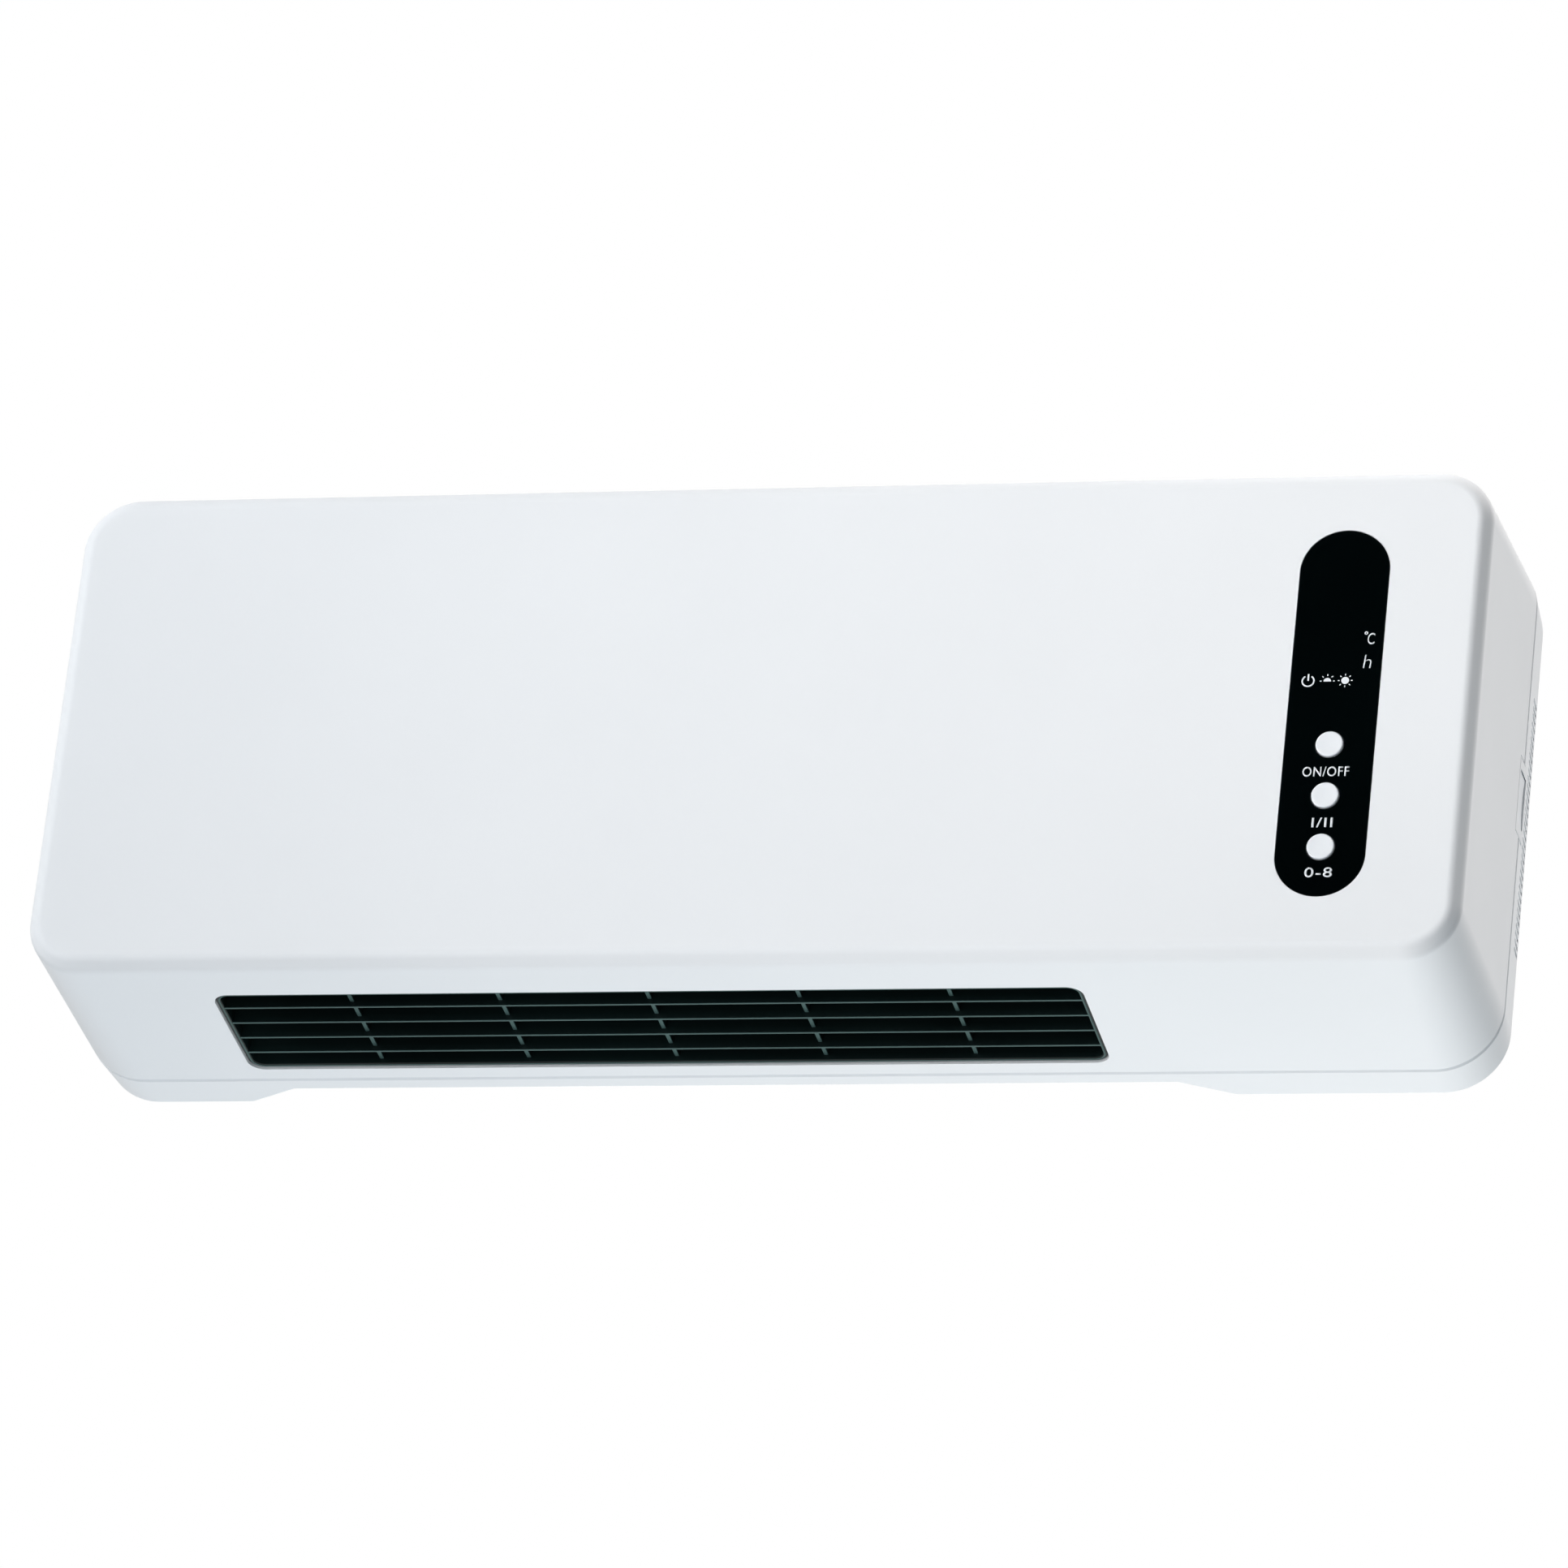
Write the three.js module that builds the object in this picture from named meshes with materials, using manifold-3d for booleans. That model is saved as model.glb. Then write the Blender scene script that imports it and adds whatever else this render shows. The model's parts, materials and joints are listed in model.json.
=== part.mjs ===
// A wall-hung bathroom fan heater: white two-shell casing, black outlet grille underneath,
// button panel on the front, crossflow fan and ceramic heating elements inside.
// Units are millimetres. The part's origin is the middle of the hanging line, on the wall.
// X runs to the right as seen from the room, Y runs into the wall and Z runs up.
// The functions below work in the casing's own frame: x to the right, y is the depth behind
// the front face, z is the height above the middle of the front face.
import * as THREE from "three";
import { mergeVertices } from "three/addons/utils/BufferGeometryUtils.js";
import Module from "manifold-3d";

const wasm = await Module();
wasm.setup();

// ---- Driving dimensions ----

// General fits
const REST_GAP = 0.3; // between pieces that touch
const SLIDE_CLEARANCE = 0.3; // around a piece that slides or drops in
const RUN_CLEARANCE = 0.25; // around a turning shaft
const OVERRUN = 1; // how far a joined or cutting solid runs past the face it meets

// Casing
const FRONT_WIDTH = 530;
const FRONT_HEIGHT = 194;
const SEAM_DEPTH = 86;
const COVER_DEPTH = 22;
const BODY_DEPTH = SEAM_DEPTH + COVER_DEPTH;
const SIDE_FLARE = 1;
const TOP_FLARE = 12.5;
const BOTTOM_FLARE = 4.3;
const CORNER_RADIUS = 20.5;
const CORNER_GROWTH = 4; // how much larger the corners are at the seam
const EDGE_RADIUS = 5;
const WALL = 2.5;
const SEAM_GAP = 0.4;
const COVER_INSET = 0.5;
const COVER_TAPER = 0.8;
const COVER_EDGE = 1.5;
const LIP_REACH = 4;
const LIP_WALL = 1.6;
const HANG_DROP = 17; // hanging line below the top of the front face
const HANG_HEIGHT = FRONT_HEIGHT / 2 - HANG_DROP;

// Intake recess in the back
const RECESS_LEFT_MARGIN = 78.5;
const RECESS_RIGHT_MARGIN = 118.7;
const RECESS_TOP_MARGIN = 47;
const RECESS_LEFT = -FRONT_WIDTH / 2 + RECESS_LEFT_MARGIN;
const RECESS_RIGHT = FRONT_WIDTH / 2 - RECESS_RIGHT_MARGIN;
const RECESS_DEPTH = 13.5;
const RECESS_RAMP = 21;
const RECESS_TOP = FRONT_HEIGHT / 2 - RECESS_TOP_MARGIN;
const INTAKE_SLOT_LENGTH = 44;
const INTAKE_SLOT_HEIGHT = 4;
const INTAKE_COLUMNS = 5;
const INTAKE_COLUMN_PITCH = 54;
const INTAKE_ROWS = 8;
const INTAKE_ROW_PITCH = 10;
const INTAKE_TOP_DROP = 14; // first row below the top of the recess

// Side slots
const SIDE_SLOTS = 17;
const SIDE_SLOT_PITCH = 6.3;
const SIDE_SLOT_HEIGHT = 3;
const SIDE_SLOT_LENGTH = 10;
const SIDE_SLOT_BACK_MARGIN = 6.5; // from the slots to the wall
const SIDE_SLOT_LOWEST = -47;

// Keyholes
const KEYHOLE_SPACING = 320;
const KEYHOLE_HEAD = 10;
const KEYHOLE_SLOT = 5;
const KEYHOLE_RISE = 9;

// Outlet grille
const GRILLE_LEFT_MARGIN = 66.6;
const GRILLE_RIGHT_MARGIN = 139.6;
const GRILLE_SEAM_MARGIN = 7.9;
const GRILLE_LEFT = -FRONT_WIDTH / 2 + GRILLE_LEFT_MARGIN;
const GRILLE_RIGHT = FRONT_WIDTH / 2 - GRILLE_RIGHT_MARGIN;
const GRILLE_FRONT = 21.8;
const GRILLE_REAR = SEAM_DEPTH - GRILLE_SEAM_MARGIN;
const GRILLE_RADIUS = 6;
const GRILLE_SINK = 0.8;
const GRILLE_FRAME = 1.8;
const GRILLE_FLANGE = 2.2;
const FLANGE_THICKNESS = 1.6;
const BAR_COUNT = 4;
const BAR_THICKNESS = 1.6;
const BAR_HEIGHT = 8;
const RIB_COUNT = 5;
const RIB_PITCH = 55.9;
const RIB_THICKNESS = 1.6;
const RIB_SETBACK = 2.2;
const RIB_TOP_STEP = 0.5;
const FRAME_RISE = 0.5;

// Control panel
const PANEL_EDGE_MARGIN = 52; // from the middle of the panel to the casing's end
const PANEL_X = FRONT_WIDTH / 2 - PANEL_EDGE_MARGIN;
const PANEL_Z = -0.6;
const PANEL_WIDTH = 32.7;
const PANEL_HEIGHT = 146.7;
const LENS_THICKNESS = 2;
const LENS_CLEARANCE = 0.15;
const POCKET_FLOOR = 2.8;
const PAD_MARGIN = 3;
const WINDOW_SIDE = 3.35; // from the window to the panel's edge
const WINDOW_WIDTH = PANEL_WIDTH - 2 * WINDOW_SIDE;
const WINDOW_TOP_DROP = 12.75; // below the top of the panel
const WINDOW_MARGIN = 1.5; // below the indicators

// Buttons
const BUTTON_RADIUS = 5;
const BUTTON_RISE = 19.55; // lowest button above the bottom of the panel
const BUTTON_PITCH = 20.4;
const BUTTON_PROUD = 0.8;
const BUTTON_CHAMFER = 0.4;
const BUTTON_TRAVEL = 0.8;
const BUTTON_FLANGE_RADIUS = 6.5;
const BUTTON_FLANGE = 1.2;
const BUTTON_STEM_RADIUS = 2.2;
const BUTTON_STEM = 1.4;
const PLUNGER_RADIUS = 1.6;
const PLUNGER_LENGTH = 3;
const SWITCH_BODY = 6;
const SWITCH_DEPTH = 4;

// Control board
const BOARD_DEPTH = 14;
const BOARD_THICKNESS = 1.6;
const BOARD_SIDE = 2.85; // from the board to the panel's edge
const BOARD_END = 2.35;
const BOARD_SCREW_INSET = 5;
const BOARD_WIDTH = PANEL_WIDTH - 2 * BOARD_SIDE;
const BOARD_HEIGHT = PANEL_HEIGHT - 2 * BOARD_END;
const BOARD_SCREW_SPACING = BOARD_HEIGHT - 2 * BOARD_SCREW_INSET;
const DISPLAY_WIDTH = 17;
const DISPLAY_HEIGHT = 22;
const DISPLAY_X = -2.5;
const DISPLAY_DROP = 43.75; // below the top of the panel
const GUIDE_LENGTH = 20;
const GUIDE_HEIGHT = 6;
const GUIDE_X = -2.6;
const GUIDE_DROP = 60.75;
const RECEIVER_SIZE = 6;
const RECEIVER_DROP = 21.75;
const RECEIVER_LENS_RADIUS = 2;
const DISPLAY_EDGE = 1;

// Fan
const FAN_BEHIND_DUCT = 4; // how far the fan's axis lies behind the middle of the duct
const FAN_ABOVE_HEATER = 76;
const ROTOR_RADIUS = 30;
const BLADE_CHORD = 8;
const BLADE_THICKNESS = 1.2;
const BLADE_COUNT = 18;
const BLADE_SWEEP_ANGLE = 0.22;
const DISC_THICKNESS = 3;
const MIDDLE_DISCS = 2;
const DISC_RIM = 1;
const ROTOR_END_GAP = 5;
const HUB_RADIUS = 7;
const HUB_FLANGE_RADIUS = 10;
const HUB_FLANGE = 2;
const HUB_LENGTH = 15;
const STUB_RADIUS = 2.5;
const STUB_LENGTH = 26;
const STUB_BOSS_RADIUS = 6;
const STUB_BOSS_LENGTH = 8;
const BUSH_RADIUS = 6;
const BUSH_LENGTH = 8;
const BUSH_PROUD = 1;
const MOUNT_RADIUS = 10;
const MOUNT_LENGTH = 10;
const COLLAR_WALL = 2.6;
const COLLAR_LENGTH = 5;

// Air duct
const DUCT_MARGIN = 2;
const SHEET = 1.8;
const SCROLL_CLEARANCE = 3.5;
const SCROLL_GROWTH = 1.8;
const SCROLL_START_ANGLE = 65;
const SCROLL_END_ANGLE = 200;
const TONGUE_ANGLE = -50;
const TONGUE_KNEE_DROP = 48; // below the fan's axis
const END_PLATE = 2;
const END_PLATE_FRONT = 12.3;
const END_PLATE_RISE = 58; // above the fan's axis
const END_FOOT_WIDTH = 12;
const END_FOOT_HEIGHT = 24;
const END_FOOT_THICKNESS = 2.4;
const END_POST_RADIUS = 4;

// Heating elements
const HEATER_LIFT = 18.3; // above the bottom of the duct
const HEATER_HEIGHT = 15;
const HEATER_CORE = 5;
const FIN_REACH = 9.5;
const FIN_COUNT = 20;
const FIN_THICKNESS = 0.8;
const SIDE_STRIP = 1;
const ELEMENT_SPACING = 27;
const BRACKET_THICKNESS = 6;
const BRACKET_MARGIN = 4;
const TAB_LENGTH = 18;
const TAB_HEIGHT = 6;
const TAB_THICKNESS = 0.8;
const CUTOUT_RADIUS = 8;
const CUTOUT_LENGTH = 7;
const CUTOUT_DROP = 60; // below the fan's axis
const CUTOUT_STRAP_REACH = 12;
const CUTOUT_STRAP_HEIGHT = 6;
const CUTOUT_STRAP = 1;
const FUSE_RADIUS = 2;
const FUSE_LENGTH = 14;
const FUSE_WIRE_RADIUS = 0.7;
const FUSE_SPACING = 30;

// Motor
const MOTOR_GAP = 12;
const STATOR_THICKNESS = 20;
const STATOR_WIDTH = 50;
const STATOR_ABOVE = 24;
const STATOR_BELOW = 42;
const BORE_RADIUS = 13;
const AIR_GAP = 0.5;
const COIL_WINDOW_WIDTH = 32;
const COIL_WINDOW_TOP = 16;
const COIL_LEG = 13;
const COIL_BUILD = 5;
const SHAFT_RADIUS = 2;
const MOTOR_BRACKET = 5;
const MOTOR_BRACKET_HEIGHT = 14;
const SHAFT_TAIL = 8;
const MOTOR_PAD = 5;
const PAD_CLEARANCE = 0.7;

// Power board
const POWER_SIDE_MARGIN = 29;
const POWER_BOTTOM_MARGIN = 13;
const POWER_POST_LENGTH = 6.7; // from the board to the inside of the back
const POWER_WIDTH = 52;
const POWER_HEIGHT = 64;
const POWER_POST_RADIUS = 3.5;
const POWER_HOLE_INSET = 6;
const RELAY_WIDTH = 19;
const RELAY_DEPTH = 15;
const RELAY_HEIGHT = 15.5;
const RELAY_PITCH = 23;
const BLOCK_WIDTH = 26;
const BLOCK_DEPTH = 12;
const BLOCK_HEIGHT = 10;
const BLOCK_INSET = 2;
const TERMINALS = 3;
const TERMINAL_RADIUS = 1.8;
const CAPACITOR_WIDTH = 18;
const CAPACITOR_DEPTH = 12;
const CAPACITOR_HEIGHT = 8;

// Main switch
const MAIN_SWITCH_Z = 7;
const MAIN_SWITCH_HEIGHT = 30;
const MAIN_SWITCH_WIDTH = 13;
const MAIN_SWITCH_REACH = 24;
const MAIN_SWITCH_WALL = 1.7;
const ROCKER_RADIUS = 13.4;
const ROCKER_SINK = 10.2;
const ROCKER_TILT_ANGLE = 7;
const ROCKER_DISH = 1;
const ROCKER_HALF_ANGLE = 45;
const PIVOT_RADIUS = 1.5;
const PIVOT_REACH = 0.9;
const ROCKER_ROOM = 3.4;
const SWITCH_TAB = 6;

// Cord gland
const GLAND_SIDE = 7.3; // from the gland to the end of the recess
const GLAND_RISE = 22; // above the bottom of the front face
const GLAND_RADIUS = 6;
const GLAND_BORE = 3.8;
const GLAND_FLANGE = 7.2;
const GLAND_LIP = 1.5;

// Screws
const SCREW_RADIUS = 1.8;
const SCREW_HEAD_RADIUS = 4;
const SCREW_HEAD = 2.5;
const CASE_SCREW_LENGTH = 16;
const CASE_SCREW_SIDE = 20;
const CASE_SCREW_DROP = 19;
const CASE_POST_RADIUS = 5;
const WELL_RADIUS = 7;
const WELL_FLOOR = 2;
const SMALL_SCREW_RADIUS = 1.3;
const SMALL_HEAD_RADIUS = 2.6;
const SMALL_HEAD = 1.6;
const SMALL_SCREW_LENGTH = 8;
const BOARD_POST_RADIUS = 3.6;
// Driver slots, as shares of the head's radius and thickness
const SLOT_REACH = 0.6;
const SLOT_DEPTH = 0.33;
const SLOT_HALF_WIDTH = 0.2;

// Leads
const LEAD_RADIUS = 1.4;
const RIBBON_RADIUS = 1.8;
const LEAD_RUN = 6; // straight run where a lead leaves or meets a terminal
const LEAD_SAG = 8;
const RIBBON_RUN = 10;
const LEAD_EDGE = 1; // how far inside a board's edge a lead lands
const LEAD_STEPS = 14;
const LEAD_SIDES = 6;

// Fineness of round shapes
const CORNER_STEPS = 6;
const EDGE_STEPS = 4;
const STADIUM_STEPS = 9;
const ROUND_SIDES = 20;
const SMALL_SIDES = 12;
const SMALL_CORNER_STEPS = 2;
const SAME_POINT = 1e-4;
const HAIR = 0.01; // keeps two round ends from meeting in doubled points
const BLADE_STEPS = 2;
const SCROLL_STEPS = 12;
const PADDLE_STEPS = 4;

// ---- Worked-out places ----

const BACK_INSIDE = BODY_DEPTH - WALL;
const RECESS_FLOOR = BODY_DEPTH - RECESS_DEPTH;
const RECESS_INSIDE = RECESS_FLOOR - WALL;
const COVER_FRONT = SEAM_DEPTH + SEAM_GAP;
const FLOOR_SLOPE = BOTTOM_FLARE / SEAM_DEPTH;
const POCKET_DEPTH = LENS_THICKNESS + REST_GAP;
const PAD_DEPTH = POCKET_DEPTH + POCKET_FLOOR;
const BOARD_SEAT = BOARD_DEPTH - REST_GAP;
const DUCT_LEFT = GRILLE_LEFT - DUCT_MARGIN;
const DUCT_RIGHT = GRILLE_RIGHT + DUCT_MARGIN;
const DUCT_FRONT = GRILLE_FRONT - DUCT_MARGIN;
const DUCT_REAR = GRILLE_REAR + DUCT_MARGIN;
const ROTOR_LEFT = DUCT_LEFT + ROTOR_END_GAP;
const ROTOR_RIGHT = DUCT_RIGHT - ROTOR_END_GAP;
const MOTOR_LEFT = DUCT_RIGHT + END_PLATE + MOTOR_GAP;
const MOTOR_RIGHT = MOTOR_LEFT + STATOR_THICKNESS;
const POWER_DEPTH = BACK_INSIDE - POWER_POST_LENGTH - REST_GAP - BOARD_THICKNESS;
const POWER_LEFT = FRONT_WIDTH / 2 - POWER_SIDE_MARGIN - POWER_WIDTH;
const POWER_BOTTOM = -FRONT_HEIGHT / 2 + POWER_BOTTOM_MARGIN;
const GLAND_X = RECESS_RIGHT - GLAND_SIDE;
const GLAND_Z = -FRONT_HEIGHT / 2 + GLAND_RISE;
const CASE_SCREW_X = FRONT_WIDTH / 2 - CASE_SCREW_SIDE;
const CASE_SCREW_Z = FRONT_HEIGHT / 2 - CASE_SCREW_DROP;
const PANEL_TOP = PANEL_Z + PANEL_HEIGHT / 2;
const PANEL_BOTTOM = PANEL_Z - PANEL_HEIGHT / 2;
const BUTTON_LOWEST = PANEL_BOTTOM + BUTTON_RISE;
const DISPLAY_Z = PANEL_TOP - DISPLAY_DROP;
const GUIDE_Z = PANEL_TOP - GUIDE_DROP;
const RECEIVER_Z = PANEL_TOP - RECEIVER_DROP;
const WINDOW_TOP = PANEL_TOP - WINDOW_TOP_DROP;
const WINDOW_BOTTOM = GUIDE_Z - GUIDE_HEIGHT / 2 - WINDOW_MARGIN;
const INTAKE_LOWEST = RECESS_TOP - INTAKE_TOP_DROP - (INTAKE_ROWS - 1) * INTAKE_ROW_PITCH;
const SIDE_AT_SEAM = FRONT_WIDTH / 2 + SIDE_FLARE;
const ROCKER_X = SIDE_AT_SEAM - ROCKER_SINK;
const WELL_FRONT = COVER_FRONT;
const BUTTON_BACK = PAD_DEPTH + REST_GAP;
const SMALL_HOLE_RADIUS = SMALL_SCREW_RADIUS + REST_GAP;
const SWITCH_FRONT = BOARD_SEAT - SWITCH_DEPTH;
const FLANGE_LEVEL = WALL + REST_GAP;

// Height of the underside of the casing at a depth
function undersideAt(depth) {
  return -FRONT_HEIGHT / 2 - FLOOR_SLOPE * depth;
}

// Height of the top of the grille's flange at a depth
function flangeTopAt(depth) {
  return undersideAt(depth) + FLANGE_LEVEL + FLANGE_THICKNESS;
}

const DUCT_BOTTOM = flangeTopAt(GRILLE_FRONT - GRILLE_FLANGE) + REST_GAP;
const HEATER_BOTTOM = DUCT_BOTTOM + HEATER_LIFT;
const HEATER_TOP = HEATER_BOTTOM + HEATER_HEIGHT;
const FAN_Y = (DUCT_FRONT + DUCT_REAR) / 2 + FAN_BEHIND_DUCT;
const FAN_Z = HEATER_TOP + FAN_ABOVE_HEATER;
const TONGUE_KNEE_Z = FAN_Z - TONGUE_KNEE_DROP;
const CUTOUT_Z = FAN_Z - CUTOUT_DROP;
const END_PLATE_TOP = FAN_Z + END_PLATE_RISE;
const END_FOOT_Z = END_PLATE_TOP - END_FOOT_HEIGHT / 2;

// ---- Solids ----

function toSolid(geometry) {
  const bare = geometry.clone();
  bare.deleteAttribute("normal");
  bare.deleteAttribute("uv");
  const merged = mergeVertices(bare, SAME_POINT);
  const mesh = new wasm.Mesh({
    numProp: 3,
    vertProperties: new Float32Array(merged.attributes.position.array),
    triVerts: new Uint32Array(merged.index.array),
  });
  return new wasm.Manifold(mesh);
}

function toGeometry(solid) {
  const mesh = solid.getMesh();
  const geometry = new THREE.BufferGeometry();
  geometry.setAttribute("position", new THREE.BufferAttribute(mesh.vertProperties, 3));
  geometry.setIndex(new THREE.BufferAttribute(mesh.triVerts, 1));
  const faceted = geometry.toNonIndexed();
  faceted.computeVertexNormals();
  return faceted;
}

function union(solids) {
  return solids.reduce((whole, next) => whole.add(next));
}

function cut(solid, tools) {
  return tools.reduce((rest, tool) => rest.subtract(tool), solid);
}

// A span grown past both its ends, for a solid that cuts right through
function past([from, to]) {
  return [from - OVERRUN, to + OVERRUN];
}

// The span that reaches equally far either side of a middle
function about(middle, half) {
  return [middle - half, middle + half];
}

// The span between two places, lower one first
function between(a, b) {
  return [Math.min(a, b), Math.max(a, b)];
}

// A box between two corners
function block(x, y, z) {
  const geometry = new THREE.BoxGeometry(x[1] - x[0], y[1] - y[0], z[1] - z[0]);
  geometry.translate((x[0] + x[1]) / 2, (y[0] + y[1]) / 2, (z[0] + z[1]) / 2);
  return toSolid(geometry);
}

// Round bars along each axis
function rodX(radius, x, y, z, sides = ROUND_SIDES) {
  const geometry = new THREE.CylinderGeometry(radius, radius, x[1] - x[0], sides);
  geometry.rotateZ(Math.PI / 2);
  geometry.translate((x[0] + x[1]) / 2, y, z);
  return toSolid(geometry);
}

function rodY(radius, x, y, z, sides = ROUND_SIDES) {
  const geometry = new THREE.CylinderGeometry(radius, radius, y[1] - y[0], sides);
  geometry.translate(x, (y[0] + y[1]) / 2, z);
  return toSolid(geometry);
}

// Outlines pushed along an axis
function prismX(shape, x) {
  const geometry = new THREE.ExtrudeGeometry(shape, { depth: x[1] - x[0], bevelEnabled: false });
  const yAxis = new THREE.Vector3(0, 1, 0);
  const zAxis = new THREE.Vector3(0, 0, 1);
  const xAxis = new THREE.Vector3(1, 0, 0);
  geometry.applyMatrix4(new THREE.Matrix4().makeBasis(yAxis, zAxis, xAxis));
  geometry.translate(x[0], 0, 0);
  return toSolid(geometry);
}

function prismY(shape, y) {
  const geometry = new THREE.ExtrudeGeometry(shape, {
    depth: y[1] - y[0],
    bevelEnabled: false,
    curveSegments: CORNER_STEPS * 2,
  });
  geometry.rotateX(Math.PI / 2);
  geometry.translate(0, y[1], 0);
  return toSolid(geometry);
}

function prismZ(shape, z) {
  const geometry = new THREE.ExtrudeGeometry(shape, {
    depth: z[1] - z[0],
    bevelEnabled: false,
    curveSegments: CORNER_STEPS,
  });
  geometry.translate(0, 0, z[0]);
  return toSolid(geometry);
}

function polygon(points) {
  return new THREE.Shape(points.map(([a, b]) => new THREE.Vector2(a, b)));
}

// Corner points of a rounded rectangle, counterclockwise
function roundedPoints(left, right, bottom, top, radius, steps = CORNER_STEPS) {
  const centres = [
    [right - radius, bottom + radius],
    [right - radius, top - radius],
    [left + radius, top - radius],
    [left + radius, bottom + radius],
  ];
  const points = [];
  centres.forEach(([x, y], corner) => {
    for (let step = 0; step <= steps; step++) {
      const angle = (Math.PI / 2) * (corner - 1 + step / steps);
      points.push([x + radius * Math.cos(angle), y + radius * Math.sin(angle)]);
    }
  });
  return points;
}

function roundedShape(left, right, bottom, top, radius, steps) {
  return polygon(roundedPoints(left, right, bottom, top, radius, steps));
}

// A slot-shaped outline with round ends, upright
function stadium(x, z, width, height) {
  const half = width / 2;
  return roundedShape(x - half, x + half, z - height / 2, z + height / 2, half - HAIR, STADIUM_STEPS);
}

// A closed skin through sections of equal point count, each at its own depth
function loft(sections) {
  const count = sections[0].points.length;
  const positions = [];
  for (const { depth, points } of sections) {
    for (const [x, z] of points) {
      positions.push(x, depth, z);
    }
  }
  const faces = [];
  for (let ring = 0; ring + 1 < sections.length; ring++) {
    for (let k = 0; k < count; k++) {
      const a = ring * count + k;
      const b = ring * count + ((k + 1) % count);
      faces.push(a, b, a + count);
      faces.push(b, b + count, a + count);
    }
  }
  const last = (sections.length - 1) * count;
  for (let k = 1; k + 1 < count; k++) {
    faces.push(0, k + 1, k);
    faces.push(last, last + k, last + k + 1);
  }
  const reversed = [];
  for (let k = 0; k < faces.length; k += 3) {
    reversed.push(faces[k], faces[k + 2], faces[k + 1]);
  }
  const geometry = new THREE.BufferGeometry();
  geometry.setAttribute("position", new THREE.Float32BufferAttribute(positions, 3));
  geometry.setIndex(reversed);
  return toSolid(geometry);
}

// A bent sheet's cross-section: a line of points thickened to its left
function sheetShape(points, thickness) {
  const left = points.map((point, index) => {
    const before = points[Math.max(index - 1, 0)];
    const after = points[Math.min(index + 1, points.length - 1)];
    const run = Math.hypot(after[0] - before[0], after[1] - before[1]);
    const normal = [-(after[1] - before[1]) / run, (after[0] - before[0]) / run];
    return [point[0] + normal[0] * thickness, point[1] + normal[1] * thickness];
  });
  return polygon([...points, ...left.reverse()]);
}

function lead(points, radius) {
  const path = new THREE.CatmullRomCurve3(points.map((point) => new THREE.Vector3(...point)));
  const section = new THREE.Shape();
  section.absarc(0, 0, radius, 0, 2 * Math.PI, false);
  const geometry = new THREE.ExtrudeGeometry(section, {
    steps: LEAD_STEPS,
    extrudePath: path,
    curveSegments: LEAD_SIDES / 2,
  });
  return toSolid(geometry);
}

// ---- Casing ----

// The casing's outline at a depth, moved in by an inset
function casingOutline(depth, inset) {
  const lean = Math.min(depth, SEAM_DEPTH) / SEAM_DEPTH;
  const half = FRONT_WIDTH / 2 + SIDE_FLARE * lean - inset;
  const top = FRONT_HEIGHT / 2 + TOP_FLARE * lean - inset;
  const bottom = -FRONT_HEIGHT / 2 - BOTTOM_FLARE * lean + inset;
  return roundedPoints(-half, half, bottom, top, CORNER_RADIUS + CORNER_GROWTH * lean - inset);
}

// Sections of the rounded front edge, for the outside or for the hollow
function edgeSections(startDepth, radius, inset) {
  const sections = [];
  for (let step = 0; step <= EDGE_STEPS; step++) {
    const angle = (Math.PI / 2) * (step / EDGE_STEPS);
    const depth = startDepth + radius * (1 - Math.cos(angle));
    sections.push({ depth, points: casingOutline(depth, inset + radius * (1 - Math.sin(angle))) });
  }
  return sections;
}

function mainSwitchNotch() {
  const half = MAIN_SWITCH_WIDTH / 2 + SLIDE_CLEARANCE;
  const tall = MAIN_SWITCH_HEIGHT / 2 + SLIDE_CLEARANCE;
  const inner = SIDE_AT_SEAM - MAIN_SWITCH_REACH;
  return block(
    [inner, SIDE_AT_SEAM + WALL],
    about(SEAM_DEPTH, half),
    about(MAIN_SWITCH_Z, tall),
  );
}

const CASE_SCREWS = [
  [-CASE_SCREW_X, -CASE_SCREW_Z],
  [CASE_SCREW_X, -CASE_SCREW_Z],
  [CASE_SCREW_X, CASE_SCREW_Z],
  [-CASE_SCREW_X, CASE_SCREW_Z],
];
const BOARD_SCREWS = about(PANEL_Z, BOARD_SCREW_SPACING / 2);
const BUTTON_HEIGHTS = [2, 1, 0].map((row) => BUTTON_LOWEST + row * BUTTON_PITCH);
const END_FEET = [
  { side: -1, face: DUCT_LEFT - END_PLATE },
  { side: 1, face: DUCT_RIGHT + END_PLATE },
];

function endScrewX(foot) {
  return foot.face + (foot.side * END_FOOT_WIDTH) / 2;
}

function screwPost(radius, x, z, depths, pilotRadius, pilotLength) {
  const post = rodY(radius, x, depths, z, SMALL_SIDES);
  const pilot = rodY(pilotRadius, x, [depths[1] - pilotLength, depths[1] + OVERRUN], z, SMALL_SIDES);
  return { post, pilot };
}

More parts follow.
